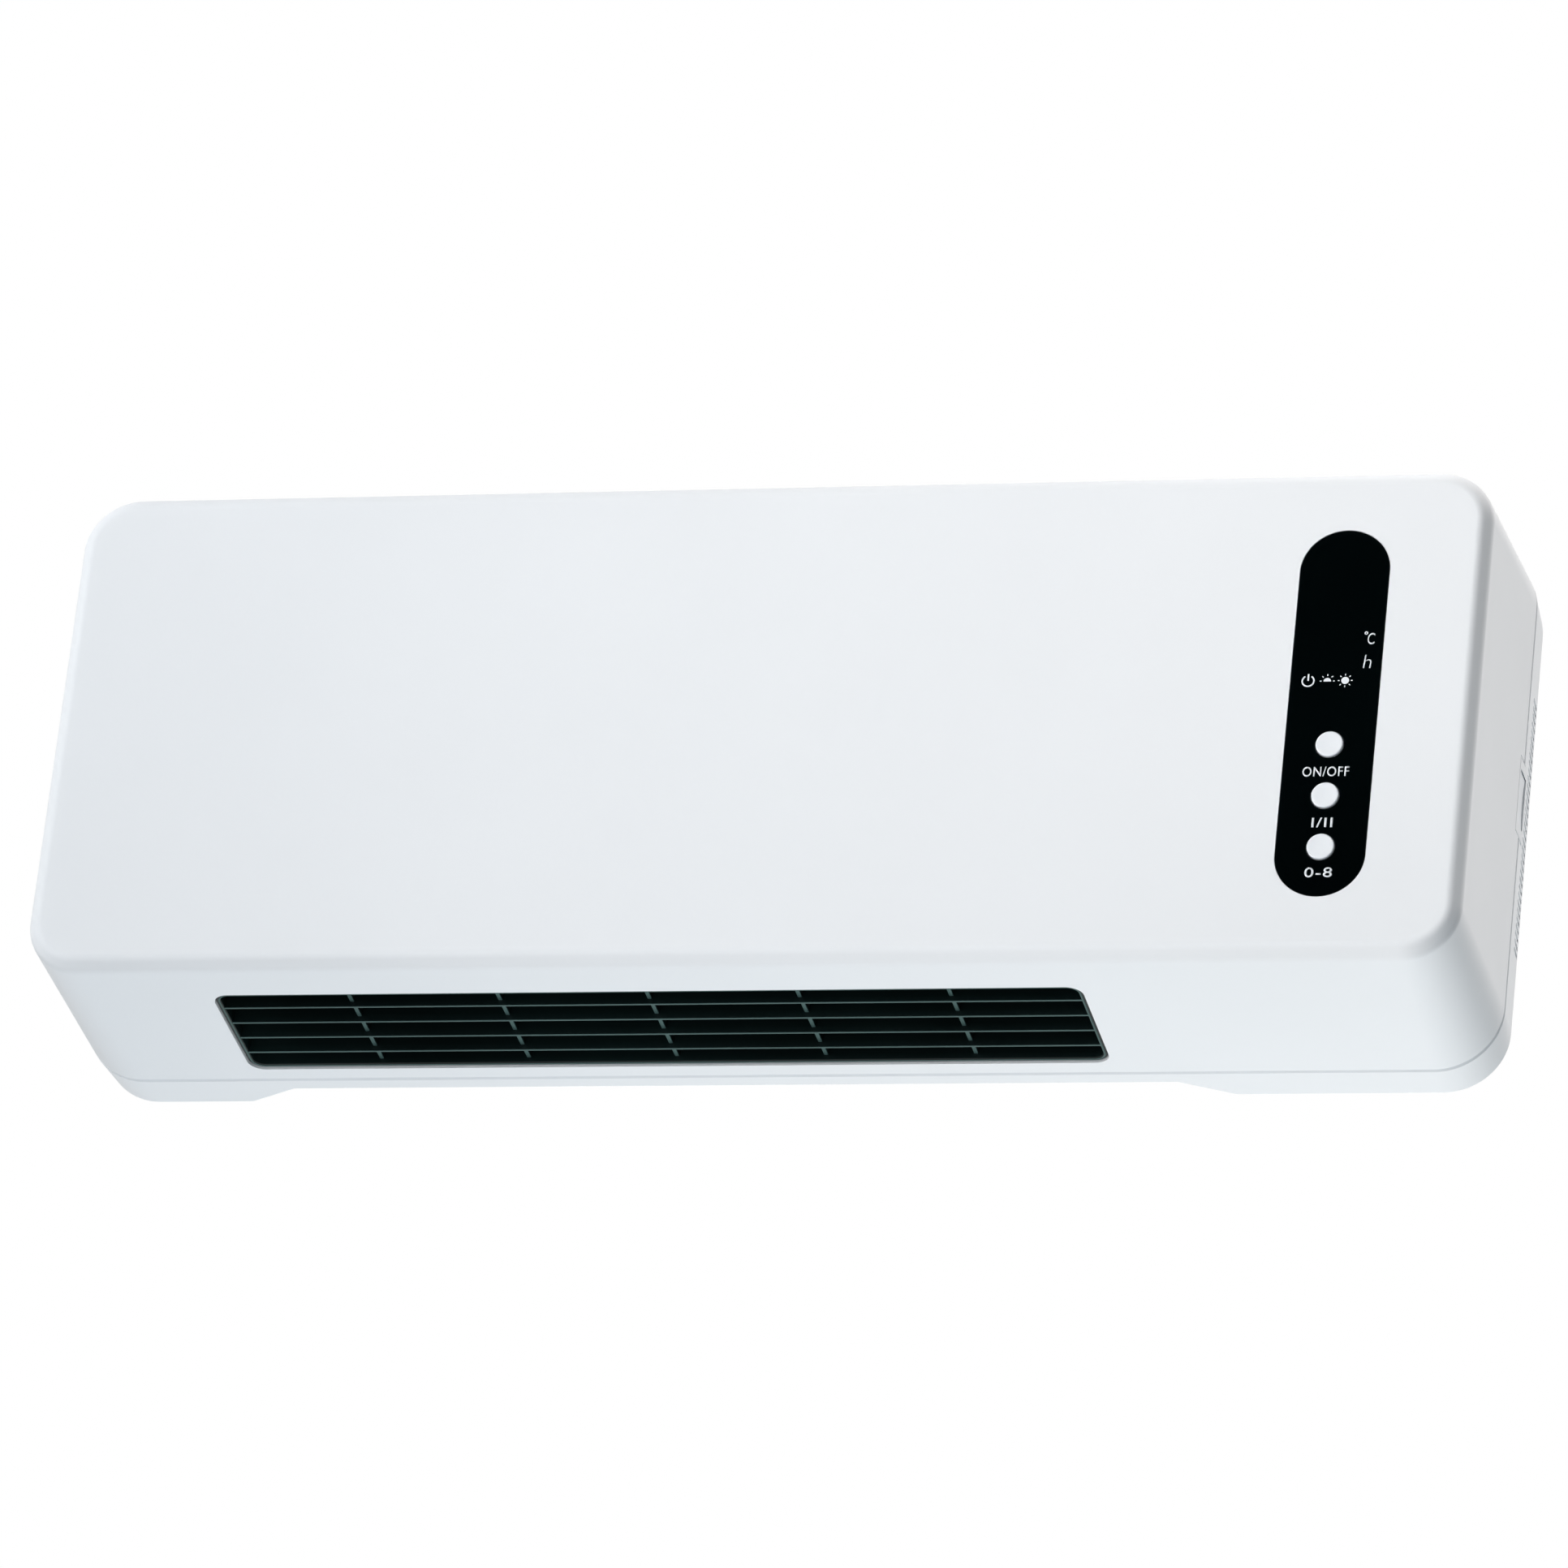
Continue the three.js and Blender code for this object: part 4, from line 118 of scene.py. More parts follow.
# Characters, x and z of their middle, width, height, weight and slant
TEXTS = {
    "sign_degrees": ("C", 224.8, 28.7, 2.6, 4.5, -0.002, 0.05),
    "sign_hours": ("h", 224.1, 19.5, 3.0, 5.3, -0.014, 0.1),
    "sign_on_off": ("ON/OFF", 212.5, -24.4, 16.9, 3.9, 0.008, 0.0),
    "sign_steps": ("I/II", 212.8, -44.7, 7.6, 3.9, 0.008, 0.0),
    "sign_hour_span": ("0-8", 213.0, -64.5, 10.0, 3.9, 0.006, 0.0),
}

SWITCH_Z, SWITCH_HEIGHT, SWITCH_WIDTH, SWITCH_REACH = 7.0, 30.0, 13.0, 24.0
SWITCH_WALL, SWITCH_ROOM, SWITCH_ROUNDING, SWITCH_WELL_SIDES = 1.5, 13.9, 0.5, 96
SWITCH_TAB_LENGTH, SWITCH_TAB_SINK = 6.0, 0.5
ROCKER_SINK, ROCKER_ROOM, ROCKER_ROUNDING = 10.2, 3.4, 0.35
ROCKER_RADIUS, ROCKER_FACE, ROCKER_DISH, ROCKER_SWEEP = 14.3, 9.9, 0.3, 16.0
ROCKER_HEEL_X, ROCKER_HEEL_Z = -1.5, 2.0
ROCKER_LIP_X, ROCKER_LIP_Z = 2.0, 2.4  # thickness of the paddle's ends
ROCKER_X = SIDE_AT_SEAM - ROCKER_SINK

GLAND_X, GLAND_Z, GLAND_RADIUS, GLAND_BORE = 139.0, -75.0, 6.0, 3.8
GLAND_FLANGE, GLAND_LIP, GLAND_ROUNDING, GLAND_SHOULDER = 7.2, 1.5, 1.0, 0.3
CASE_SCREW_X, CASE_SCREW_Z, WELL_RADIUS, WELL_FLOOR = 245.0, 78.0, 7.0, 2.0
SCREW_RADIUS, SCREW_HEAD_RADIUS, SCREW_HEAD, SCREW_LENGTH = 1.8, 4.0, 2.5, 15.4
HEAD_ROUNDING, HEAD_DIMPLE = 1.4, 0.05
CROSS_DEPTH, CROSS_ARM, CROSS_HALF_WIDTH = 1.3, 2.2, 0.45
THREAD_PITCH, THREAD_DEPTH = 1.4, 0.45
POINT_START, POINT_SHOULDER, POINT_TAPER, POINT_RADIUS = 2.0, 1.0, 0.5, 0.05

CASE_POST_RADIUS, PILOT_RADIUS = 5.0, 1.6
BOARD_POST_RADIUS, BOARD_POST_END, BOARD_POST_REACH = 3.6, 13.7, 66.0
DUCT_POST_RADIUS, DUCT_POST_END, DUCT_POST_Z = 4.0, 12.0, 62.0
DUCT_POST_PLACES = (-208.4, 135.4)

DUCT_LEFT, DUCT_RIGHT = -200.4, 127.4
HEATER_BOTTOM, HEATER_HEIGHT, ELEMENT_SPACING = -74.98, 15.0, 27.0
DUCT_MIDDLE = 49.95
HEATER_CORE, CORE_ROUNDING, FIN_REACH, SIDE_STRIP, BRACKET = 5.0, 0.4, 9.5, 1.0, 6.0
FIN_FOLDS, FIN_SHEET, FIN_MARGIN = 130, 0.25, 0.8
TAB_LENGTH, TAB_HEIGHT, TAB_THICKNESS, TAB_ROOT = 18.0, 6.0, 0.8, 1.0

CORNER_STEPS = 20
EDGE_STEPS = 12
KEYHOLE_STEPS = 28
ARC_STEPS = 40
ROCKER_STEPS = 24
SMALL_STEPS = 5
ROUND_SIDES = 72
SIGN_SIDES = 32
SCREW_SIDES = 32
SMALL_SIDES = 24


# ---- Mesh tools ----


def row(x, y, z):
    """A casing point in millimetres as a point of the row frame in metres."""
    return Vector((x * MM, (y - BODY_DEPTH) * MM, (z - HANG_HEIGHT) * MM))


def new_object(name, data):
    obj = bpy.data.objects.new(name, data)
    bpy.context.scene.collection.objects.link(obj)
    return obj


def mesh_object(name, points, faces):
    """A closed mesh from casing points, with its faces turned outwards."""
    mesh = bpy.data.meshes.new(name)
    mesh.from_pydata([row(*point) for point in points], [], faces)
    shaped = bmesh.new()
    shaped.from_mesh(mesh)
    bmesh.ops.remove_doubles(shaped, verts=shaped.verts, dist=MERGE_DISTANCE)
    bmesh.ops.recalc_face_normals(shaped, faces=shaped.faces)
    shaped.to_mesh(mesh)
    shaped.free()
    return new_object(name, mesh)


def loft(name, rings):
    """A closed skin through rings of equal point count."""
    count = len(rings[0])
    points = [point for ring in rings for point in ring]
    faces = []
    for ring in range(len(rings) - 1):
        for k in range(count):
            a, b = ring * count + k, ring * count + (k + 1) % count
            faces.append((a, b, b + count, a + count))
    last = (len(rings) - 1) * count
    faces.append(tuple(reversed(range(count))))
    faces.append(tuple(last + k for k in range(count)))
    return mesh_object(name, points, faces)


def prism(name, outline, axis, span):
    """An outline pushed along an axis: (x, z) along y, (x, y) along z or (y, z) along x."""
    place = {
        "x": lambda p, q, d: (d, p, q),
        "y": lambda p, q, d: (p, d, q),
        "z": lambda p, q, d: (p, q, d),
    }[axis]
    return loft(name, [[place(p, q, d) for p, q in outline] for d in span])


def box(name, x, y, z):
    outline = [(x[0], y[0]), (x[1], y[0]), (x[1], y[1]), (x[0], y[1])]
    return prism(name, outline, "z", z)


def about(middle, half):
    return (middle - half, middle + half)


def quarter(steps):
    """Angles that divide a right angle into steps."""
    return [(pi / 2) * step / steps for step in range(steps + 1)]


def rounded(left, right, bottom, top, radius, steps=CORNER_STEPS):
    """Corner points of a rounded rectangle, counterclockwise."""
    centres = [
        (right - radius, bottom + radius, -90),
        (right - radius, top - radius, 0),
        (left + radius, top - radius, 90),
        (left + radius, bottom + radius, 180),
    ]
    points = []
    for x, z, start in centres:
        for step in range(steps + 1):
            angle = radians(start + 90 * step / steps)
            points.append((x + radius * cos(angle), z + radius * sin(angle)))
    return points


def stadium(x, z, width, height, steps=CORNER_STEPS * 2):
    half = width / 2
    return rounded(x - half, x + half, z - height / 2, z + height / 2, half - SLIVER, steps)


def circle(x, z, radius, sides=ROUND_SIDES):
    turns = [2 * pi * k / sides for k in range(sides)]
    return [(x + radius * cos(turn), z + radius * sin(turn)) for turn in turns]


def lathe(name, profile, x, z, sides=ROUND_SIDES, closed=False):
    """A profile of (radius, depth) turned round a line along y. A closed profile makes a ring."""
    points, faces = [], []
    count = len(profile)
    for radius, depth in profile:
        for side in range(sides):
            turn = 2 * pi * side / sides
            points.append((x + radius * cos(turn), depth, z + radius * sin(turn)))
    rings = count if closed else count - 1
    for ring in range(rings):
        after = (ring + 1) % count
        for side in range(sides):
            beside = (side + 1) % sides
            low, high = ring * sides, after * sides
            faces.append((low + side, low + beside, high + beside, high + side))
    if not closed:
        faces.append(tuple(range(sides)))
        faces.append(tuple((count - 1) * sides + side for side in range(sides)))
    return mesh_object(name, points, faces)


def rim(radius, rounding, depth, steps, inwards=1):
    """Profile points of a rounded rim, from the flat face at a depth to the side."""
    return [
        (radius - rounding * (1 - sin(angle)), depth + inwards * rounding * (1 - cos(angle)))
        for angle in quarter(steps)
    ]


def tube(name, inner, outer, x, z, depths, sides=ROUND_SIDES):
    profile = [(outer, depths[0]), (outer, depths[1]), (inner, depths[1]), (inner, depths[0])]
    return lathe(name, profile, x, z, sides, closed=True)


def join(name, parts):
    """One object that holds the meshes of several."""
    merged = bmesh.new()
    for part in parts:
        merged.from_mesh(part.data)
        bpy.data.objects.remove(part)
    mesh = bpy.data.meshes.new(name)
    merged.to_mesh(mesh)
    merged.free()
    return new_object(name, mesh)


def apply_modifiers(obj):
    depsgraph = bpy.context.evaluated_depsgraph_get()
    obj.data = bpy.data.meshes.new_from_object(obj.evaluated_get(depsgraph))
    obj.modifiers.clear()
    return obj


def combine(obj, tool, operation):
    modifier = obj.modifiers.new(operation.lower(), "BOOLEAN")
    modifier.operation = operation
    modifier.solver = "EXACT"
    modifier.object = tool
    apply_modifiers(obj)
    bpy.data.objects.remove(tool)
    return obj


def carve(obj, *tools):
    for tool in tools:
        combine(obj, tool, "DIFFERENCE")
    return obj


def bevel(obj, width, segments=3, angle=40):
    """Rounds the edges that are sharper than an angle."""
    modifier = obj.modifiers.new("bevel", "BEVEL")
    modifier.width = width * MM
    modifier.segments = segments
    modifier.limit_method = "ANGLE"
    modifier.angle_limit = radians(angle)
    return apply_modifiers(obj)


def smooth(obj, angle=35):
    """Soft shading that keeps sharp edges and lets the large faces stay flat."""
    obj.data.shade_smooth()
    obj.data.set_sharp_from_angle(angle=radians(angle))
    modifier = obj.modifiers.new("normals", "WEIGHTED_NORMAL")
    modifier.keep_sharp = True
    modifier.mode = "FACE_AREA"
    return apply_modifiers(obj)


# ---- Materials ----

# Texture scales, in features a metre
DRIFT_SCALE, GLOSS_SCALE, BAND_GLOSS_SCALE = 9, 70, 300
TRACE_SCALE, MASK_GLOSS_SCALE = 260, 500


class Nodes:
    """A material's node tree, with its shader and short ways to add nodes."""

    def __init__(self, name):
        self.material = bpy.data.materials.new(name)
        self.material.use_nodes = True
        self.tree = self.material.node_tree
        self.shader = self.tree.nodes["Principled BSDF"]
        self.coordinates = self.add("ShaderNodeTexCoord").outputs["Object"]

    def add(self, kind, **settings):
        node = self.tree.nodes.new(kind)
        for key, value in settings.items():
            setattr(node, key, value)
        return node

    def link(self, source, target):
        self.tree.links.new(source, target)

    def stretched(self, scale):
        mapping = self.add("ShaderNodeMapping")
        mapping.inputs["Scale"].default_value = scale
        self.link(self.coordinates, mapping.inputs["Vector"])
        return mapping.outputs["Vector"]

    def noise(self, scale, detail=3.0, stretch=(1, 1, 1)):
        node = self.add("ShaderNodeTexNoise")
        node.inputs["Scale"].default_value = scale
        node.inputs["Detail"].default_value = detail
        self.link(self.stretched(stretch), node.inputs["Vector"])
        return node.outputs["Fac"]

    def waves(self, scale, axis, distortion=0.4):
        node = self.add("ShaderNodeTexWave", bands_direction=axis)
        node.inputs["Scale"].default_value = scale
        node.inputs["Distortion"].default_value = distortion
        self.link(self.coordinates, node.inputs["Vector"])
        return node.outputs["Fac"]

    def cells(self, scale):
        node = self.add("ShaderNodeTexVoronoi", feature="F1", distance="CHEBYCHEV")
        node.inputs["Scale"].default_value = scale
        self.link(self.coordinates, node.inputs["Vector"])
        return node.outputs["Distance"]

    def blend_colours(self, factor, dark, light, low=0.35, high=0.65):
        ramp = self.add("ShaderNodeValToRGB")
        ramp.color_ramp.elements[0].position = low
        ramp.color_ramp.elements[1].position = high
        ramp.color_ramp.elements[0].color = (*dark, 1)
        ramp.color_ramp.elements[1].color = (*light, 1)
        self.link(factor, ramp.inputs["Fac"])
        self.link(ramp.outputs["Color"], self.shader.inputs["Base Color"])

    def roughness(self, factor, low, high):
        span = self.add("ShaderNodeMapRange")
        span.inputs["To Min"].default_value = low
        span.inputs["To Max"].default_value = high
        self.link(factor, span.inputs["Value"])
        self.link(span.outputs["Result"], self.shader.inputs["Roughness"])

    def bump(self, height, distance, strength=1.0):
        node = self.add("ShaderNodeBump")
        node.inputs["Distance"].default_value = distance * MM
        node.inputs["Strength"].default_value = strength
        self.link(height, node.inputs["Height"])
        self.link(node.outputs["Normal"], self.shader.inputs["Normal"])


def tones(colour, spread):
    """A darker and a lighter tone of a colour."""
    shares = (1 - spread, 1 + spread)
    return [tuple(min(1.0, channel * share) for channel in colour) for share in shares]


def moulded(slot, colour, rough, spread=0.02, grain=1500, depth=0.004, specular=0.5):
    """Moulded plastic: a faint drift of colour, fine grain and uneven gloss."""
    nodes = Nodes(slot)
    nodes.blend_colours(nodes.noise(DRIFT_SCALE, detail=4), *tones(colour, spread))
    gloss = nodes.noise(GLOSS_SCALE, detail=5)
    nodes.roughness(gloss, low=rough * 0.85, high=rough * 1.15)
    nodes.bump(nodes.noise(grain, detail=2), depth, strength=0.5)
    nodes.shader.inputs["Specular IOR Level"].default_value = specular
    return nodes.material


def metal(slot, colour, rough, stretch=(1, 1, 1), grain=900, spread=0.12):
    """Bare metal: tone, gloss and height vary together along its streaks."""
    nodes = Nodes(slot)
    streaks = nodes.noise(grain, stretch=stretch)
    nodes.blend_colours(streaks, *tones(colour, spread))
    gloss = nodes.noise(grain / 3, detail=4, stretch=stretch)
    nodes.roughness(gloss, low=rough * 0.8, high=rough * 1.25)
    nodes.bump(streaks, distance=0.01, strength=0.4)
    nodes.shader.inputs["Metallic"].default_value = 1.0
    return nodes.material


def banded(slot, dark, light, scale, axis, rough, metallic):
    """Stacked sheets or windings: close bands across one axis."""
    nodes = Nodes(slot)
    bands = nodes.waves(scale, axis)
    nodes.blend_colours(bands, dark, light, low=0.1, high=0.7)
    nodes.roughness(nodes.noise(BAND_GLOSS_SCALE), low=rough * 0.8, high=rough * 1.2)
    nodes.bump(bands, distance=0.08)
    nodes.shader.inputs["Metallic"].default_value = metallic
    return nodes.material


def board(slot, dark, light):
    """A solder-masked board: copper areas show as lighter blocks under the mask."""
    nodes = Nodes(slot)
    traces = nodes.cells(TRACE_SCALE)
    nodes.blend_colours(traces, light, dark, low=0.28, high=0.32)
    nodes.roughness(nodes.noise(MASK_GLOSS_SCALE), low=0.3, high=0.42)
    nodes.bump(traces, distance=0.03, strength=0.5)
    return nodes.material


# Colour, roughness, spread of the tone, grain scale, grain depth and specular level
MOULDED = {
    "white_shell": ((0.82, 0.85, 0.87), 0.42, 0.008, 2600, 0.003, 0.3),
    "white_button": ((0.81, 0.85, 0.88), 0.38, 0.008, 3000, 0.003, 0.4),
    # The grille's black, darker than its plastic so that the bars' walls look shaded: partly its
    # own colour, partly painted shade
    "black_grille": ((0.004, 0.010, 0.010), 0.38, 0.25, 1800, 0.006, 0.4),
    # A paler copy of the grille's black for its lower edges: a painted highlight
    "grille_edge": ((0.055, 0.105, 0.1), 0.5, 0.12, 1800, 0.006, 0.3),
    "black_lens": ((0.0005, 0.0016, 0.0019), 0.1, 0.2, 600, 0.0005, 0.25),
    "dark_plastic": ((0.03, 0.03, 0.035), 0.5, 0.15),
    "smoked_plastic": ((0.015, 0.015, 0.018), 0.25, 0.2),
    "clear_white": ((0.75, 0.72, 0.66), 0.45, 0.03),
    "blue_case": ((0.03, 0.12, 0.38), 0.38, 0.06),
    "ceramic_white": ((0.30, 0.29, 0.27), 0.75, 0.06, 900, 0.02),
    "yellow_case": ((0.58, 0.37, 0.03), 0.35, 0.06),
    "rotor_plastic": ((0.03, 0.033, 0.036), 0.6, 0.2, 700, 0.01),
    "duct_plastic": ((0.006, 0.012, 0.012), 0.65, 0.2, 800, 0.01),
    "black_rubber": ((0.014, 0.014, 0.014), 0.72, 0.2, 1200, 0.01),
    "lead_white": ((0.7, 0.7, 0.66), 0.5, 0.05, 1000, 0.01),
    "lead_red": ((0.4, 0.03, 0.02), 0.5, 0.08, 1000, 0.01),
}
# Colour, roughness, stretch of the streaks, their scale and the spread of the tone
METALS = {
    "steel": ((0.5, 0.5, 0.5), 0.3, (1, 1, 12)),
    "bronze": ((0.45, 0.25, 0.1), 0.4),
    "cast_metal": ((0.45, 0.46, 0.47), 0.5, (1, 1, 1), 500),
    # Much darker than bare aluminium: painted shade of the duct that the fins sit in
    "aluminium_fins": ((0.20, 0.205, 0.21), 0.55, (1, 1, 6), 1200, 0.2),
}
# Dark tone, light tone, scale of the bands, axis across them, roughness and metallic share
BANDED = {
    "stator_steel": ((0.05, 0.05, 0.055), (0.24, 0.24, 0.25), 420, "X", 0.5, 0.9),
    "copper": ((0.22, 0.06, 0.02), (0.55, 0.2, 0.08), 260, "Z", 0.4, 0.7),
}
# Dark tone and light tone
BOARDS = {"green_board": ((0.012, 0.07, 0.025), (0.03, 0.14, 0.05))}

MATERIALS = {
    slot_name: finish(slot_name, *values)
    for finish, table in ((moulded, MOULDED), (metal, METALS), (banded, BANDED), (board, BOARDS))
    for slot_name, values in table.items()
}


def place(obj, body, slot, *nodes):
    """Gives a piece its finish and lets it ride on a body in place of CAD nodes."""
    if not obj.data.materials:
        obj.data.materials.append(MATERIALS[slot])
    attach(obj, body)
    if nodes:
        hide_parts(*nodes)
    return obj


def dress_nodes():
    """Every CAD node gets the material of its slot in the record."""
    for part in frame["record"]["subparts"]:
        node = frame["nodes"][part["node"]]
        node.data.materials.clear()
        node.data.materials.append(MATERIALS[part["material_slot"]])


# ---- Casing ----


def casing_outline(depth, inset):
    """The casing's outline at a depth, drawn in by an inset."""
    lean = min(depth, SEAM_DEPTH) / SEAM_DEPTH
    half = FRONT_WIDTH / 2 + SIDE_FLARE * lean - inset
    top = FRONT_HEIGHT / 2 + TOP_FLARE * lean - inset
    bottom = -FRONT_HEIGHT / 2 - BOTTOM_FLARE * lean + inset
    return rounded(-half, half, bottom, top, CORNER_RADIUS + CORNER_GROWTH * lean - inset)


def ring(depth, outline_depth, inset):
    """The outline of one depth, laid at another."""
    return [(x, depth, z) for x, z in casing_outline(outline_depth, inset)]


def chamfer_rings():
    """Rings of the flat band round the front, softened where it meets the front and the sides."""
    soft, band = CHAMFER_SOFTENING, EDGE_CHAMFER
    line = [(0.0, band + soft), (0.0, band), (band, 0.0), (band + soft, 0.0)]
    rings = []
    for before, corner, after in (line[:3], line[1:]):
        near, far = Vector(before), Vector(after)
        middle = Vector(corner)
        start = middle + (near - middle).normalized() * soft
        end = middle + (far - middle).normalized() * soft
        for step in range(CHAMFER_STEPS + 1):
            share = step / CHAMFER_STEPS
            depth, inset = start.lerp(middle, share).lerp(middle.lerp(end, share), share)
            rings.append(ring(depth, depth, inset))
    return rings


def edge_rings(start, radius, inset):
    """Rings of a rounded front edge."""
    rings = []
    for angle in quarter(EDGE_STEPS):
        depth = start + radius * (1 - cos(angle))
        rings.append(ring(depth, depth, inset + radius * (1 - sin(angle))))
    return rings


def switch_notch():
    """The room that both shells leave for the main switch."""
    return box(
        "switch_notch",
        (SIDE_AT_SEAM - SWITCH_REACH, SIDE_AT_SEAM + WALL),
        about(SEAM_DEPTH, SWITCH_WIDTH / 2 + GAP),
        about(SWITCH_Z, SWITCH_HEIGHT / 2 + GAP),
    )


def corner_places():
    """Where the four case screws stand."""
    return [(sx * CASE_SCREW_X, sz * CASE_SCREW_Z) for sx in (-1, 1) for sz in (-1, 1)]


def screw_posts():
    """The front casing's posts for the case, board and duct screws."""
    posts = []
    for x, z in corner_places():
        radii, depths = (SCREW_RADIUS + GAP, CASE_POST_RADIUS), (WALL, COVER_FRONT - GAP)
        posts.append(tube("case_post", *radii, x, z, depths, SMALL_SIDES))
    for z in about(PANEL_Z, BOARD_POST_REACH):
        radii, depths = (PILOT_RADIUS, BOARD_POST_RADIUS), (PAD_DEPTH, BOARD_POST_END)
        posts.append(tube("board_post", *radii, PANEL_X, z, depths, SMALL_SIDES))
    for x in DUCT_POST_PLACES:
        radii, depths = (PILOT_RADIUS, DUCT_POST_RADIUS), (WALL, DUCT_POST_END)
        posts.append(tube("duct_post", *radii, x, DUCT_POST_Z, depths, SMALL_SIDES))
    return posts


def key_bores(name, depths):
    """The three holes that the push buttons stand in."""
    rows = BUTTON_ROWS.values()
    bores = [prism(name, circle(PANEL_X, z, BUTTON_RADIUS + GAP), "y", depths) for z in rows]
    return join(f"{name}s", bores)


def front_casing():
    outside = [
        *chamfer_rings(),
        ring(SEAM_DEPTH - SEAM_BREAK, SEAM_DEPTH - SEAM_BREAK, 0),
        ring(SEAM_DEPTH, SEAM_DEPTH, SEAM_BREAK),
    ]
    inside = [
        *edge_rings(WALL, EDGE_RADIUS - WALL, WALL),
        ring(SEAM_DEPTH, SEAM_DEPTH, WALL),
        ring(SEAM_DEPTH + OVERRUN, SEAM_DEPTH, WALL),
    ]
    shell = carve(loft("front_shell", outside), loft("front_hollow", inside))
    margin = 2 * PAD_MARGIN
    pad_outline = stadium(PANEL_X, PANEL_Z, PANEL_WIDTH + margin, PANEL_HEIGHT + margin)
    pad = prism("panel_pad", pad_outline, "y", (WALL - OVERRUN, PAD_DEPTH))
    combine(shell, pad, "UNION")
    grow = 2 * LENS_CLEARANCE
    pocket = stadium(PANEL_X, PANEL_Z, PANEL_WIDTH + grow, PANEL_HEIGHT + grow)
    left, right = (PANEL_X + side for side in WINDOW_SIDES)
    window = rounded(left, right, *WINDOW_HEIGHTS, WINDOW_RADIUS, SMALL_STEPS)
    sides, depths = (GRILLE_LEFT, GRILLE_RIGHT), (GRILLE_FRONT, GRILLE_REAR)
    opening = rounded(*sides, *depths, GRILLE_RADIUS, SMALL_STEPS * 2)
    below = -FRONT_HEIGHT / 2 - 2 * BOTTOM_FLARE
    above = -FRONT_HEIGHT / 2 + 2 * WALL
    through = (0, PAD_DEPTH + OVERRUN)
    carve(
        shell,
        prism("panel_pocket", pocket, "y", (-OVERRUN, PAD_DEPTH - PAD_FLOOR)),
        prism("display_window", window, "y", through),
        key_bores("key_hole", through),
        prism("outlet", opening, "z", (below, above)),
        switch_notch(),
    )
    whole = join("casing_front", [shell, *screw_posts()])
    return place(smooth(whole), "casing", "white_shell", "front_casing")


def recess(growth):
    """The intake recess, open downwards and to the wall, grown by a wall where asked."""
    slope = RECESS_DEPTH / RECESS_RAMP
    shift = growth * ((1 + slope * slope) ** 0.5 - 1) / slope
    floor = RECESS_FLOOR - growth
    mouth = BODY_DEPTH + OVERRUN
    run = (mouth - floor) / slope
    left, right = RECESS_LEFT - shift, RECESS_RIGHT + shift
    outline = [(left, floor), (right, floor), (right + run, mouth), (left - run, mouth)]
    return prism("recess", outline, "z", (-FRONT_HEIGHT, RECESS_TOP + growth))


def keyhole(x):
    """A head hole with a narrow slot above it, as one outline."""
    slot, head, low = KEYHOLE_SLOT / 2, KEYHOLE_HEAD / 2, HANG_HEIGHT - KEYHOLE_RISE
    reach = (head * head - slot * slot) ** 0.5
    outline = []
    start = atan(reach / slot)
    for step in range(KEYHOLE_STEPS + 1):
        turn = pi - start + (pi + 2 * start) * step / KEYHOLE_STEPS
        outline.append((x + head * cos(turn), low + head * sin(turn)))
    for step in range(SMALL_STEPS * 2 + 1):
        turn = pi * step / (SMALL_STEPS * 2)
        outline.append((x + slot * cos(turn), HANG_HEIGHT + slot * sin(turn)))
    return prism("keyhole", outline, "y", (BACK_INSIDE - OVERRUN, BODY_DEPTH + OVERRUN))


def intake_slots():
    """The rows and columns of air slots in the floor of the recess."""
    slots = []
    middle = (RECESS_LEFT + RECESS_RIGHT) / 2
    depths = (RECESS_FLOOR - WALL - OVERRUN, RECESS_FLOOR + OVERRUN)
    half, tall = INTAKE_LENGTH / 2, INTAKE_HEIGHT / 2
    corner = tall - INTAKE_END_FLAT
    for column in range(INTAKE_COLUMNS):
        x = middle + (column - (INTAKE_COLUMNS - 1) / 2) * INTAKE_COLUMN_PITCH
        for line in range(INTAKE_ROWS):
            z = INTAKE_LOWEST + line * INTAKE_ROW_PITCH
            outline = rounded(x - half, x + half, z - tall, z + tall, corner, SMALL_STEPS)
            slots.append(prism("intake_slot", outline, "y", depths))
    return join("intake_slots", slots)


def side_slots():
    """The row of fine air slots at the rear of each side."""
    slots = []
    for line in range(SIDE_SLOTS):
        z = SIDE_SLOT_LOWEST + line * SIDE_SLOT_PITCH
        heights = about(z, SIDE_SLOT_HEIGHT / 2)
        outline = rounded(*SIDE_SLOT_DEPTHS, *heights, SIDE_SLOT_RADIUS, SMALL_STEPS)
        for side in (-1, 1):
            near, far = side * (SIDE_AT_SEAM - 2 * WALL), side * (SIDE_AT_SEAM + WALL)
            slots.append(prism("side_slot", outline, "x", (near, far)))
    return join("side_slots", slots)


def at_corners(name, radius, depths, sides=ROUND_SIDES):
    """A round bar at each case screw."""
    bars = [prism(name, circle(x, z, radius, sides), "y", depths) for x, z in corner_places()]
    return join(f"{name}s", bars)


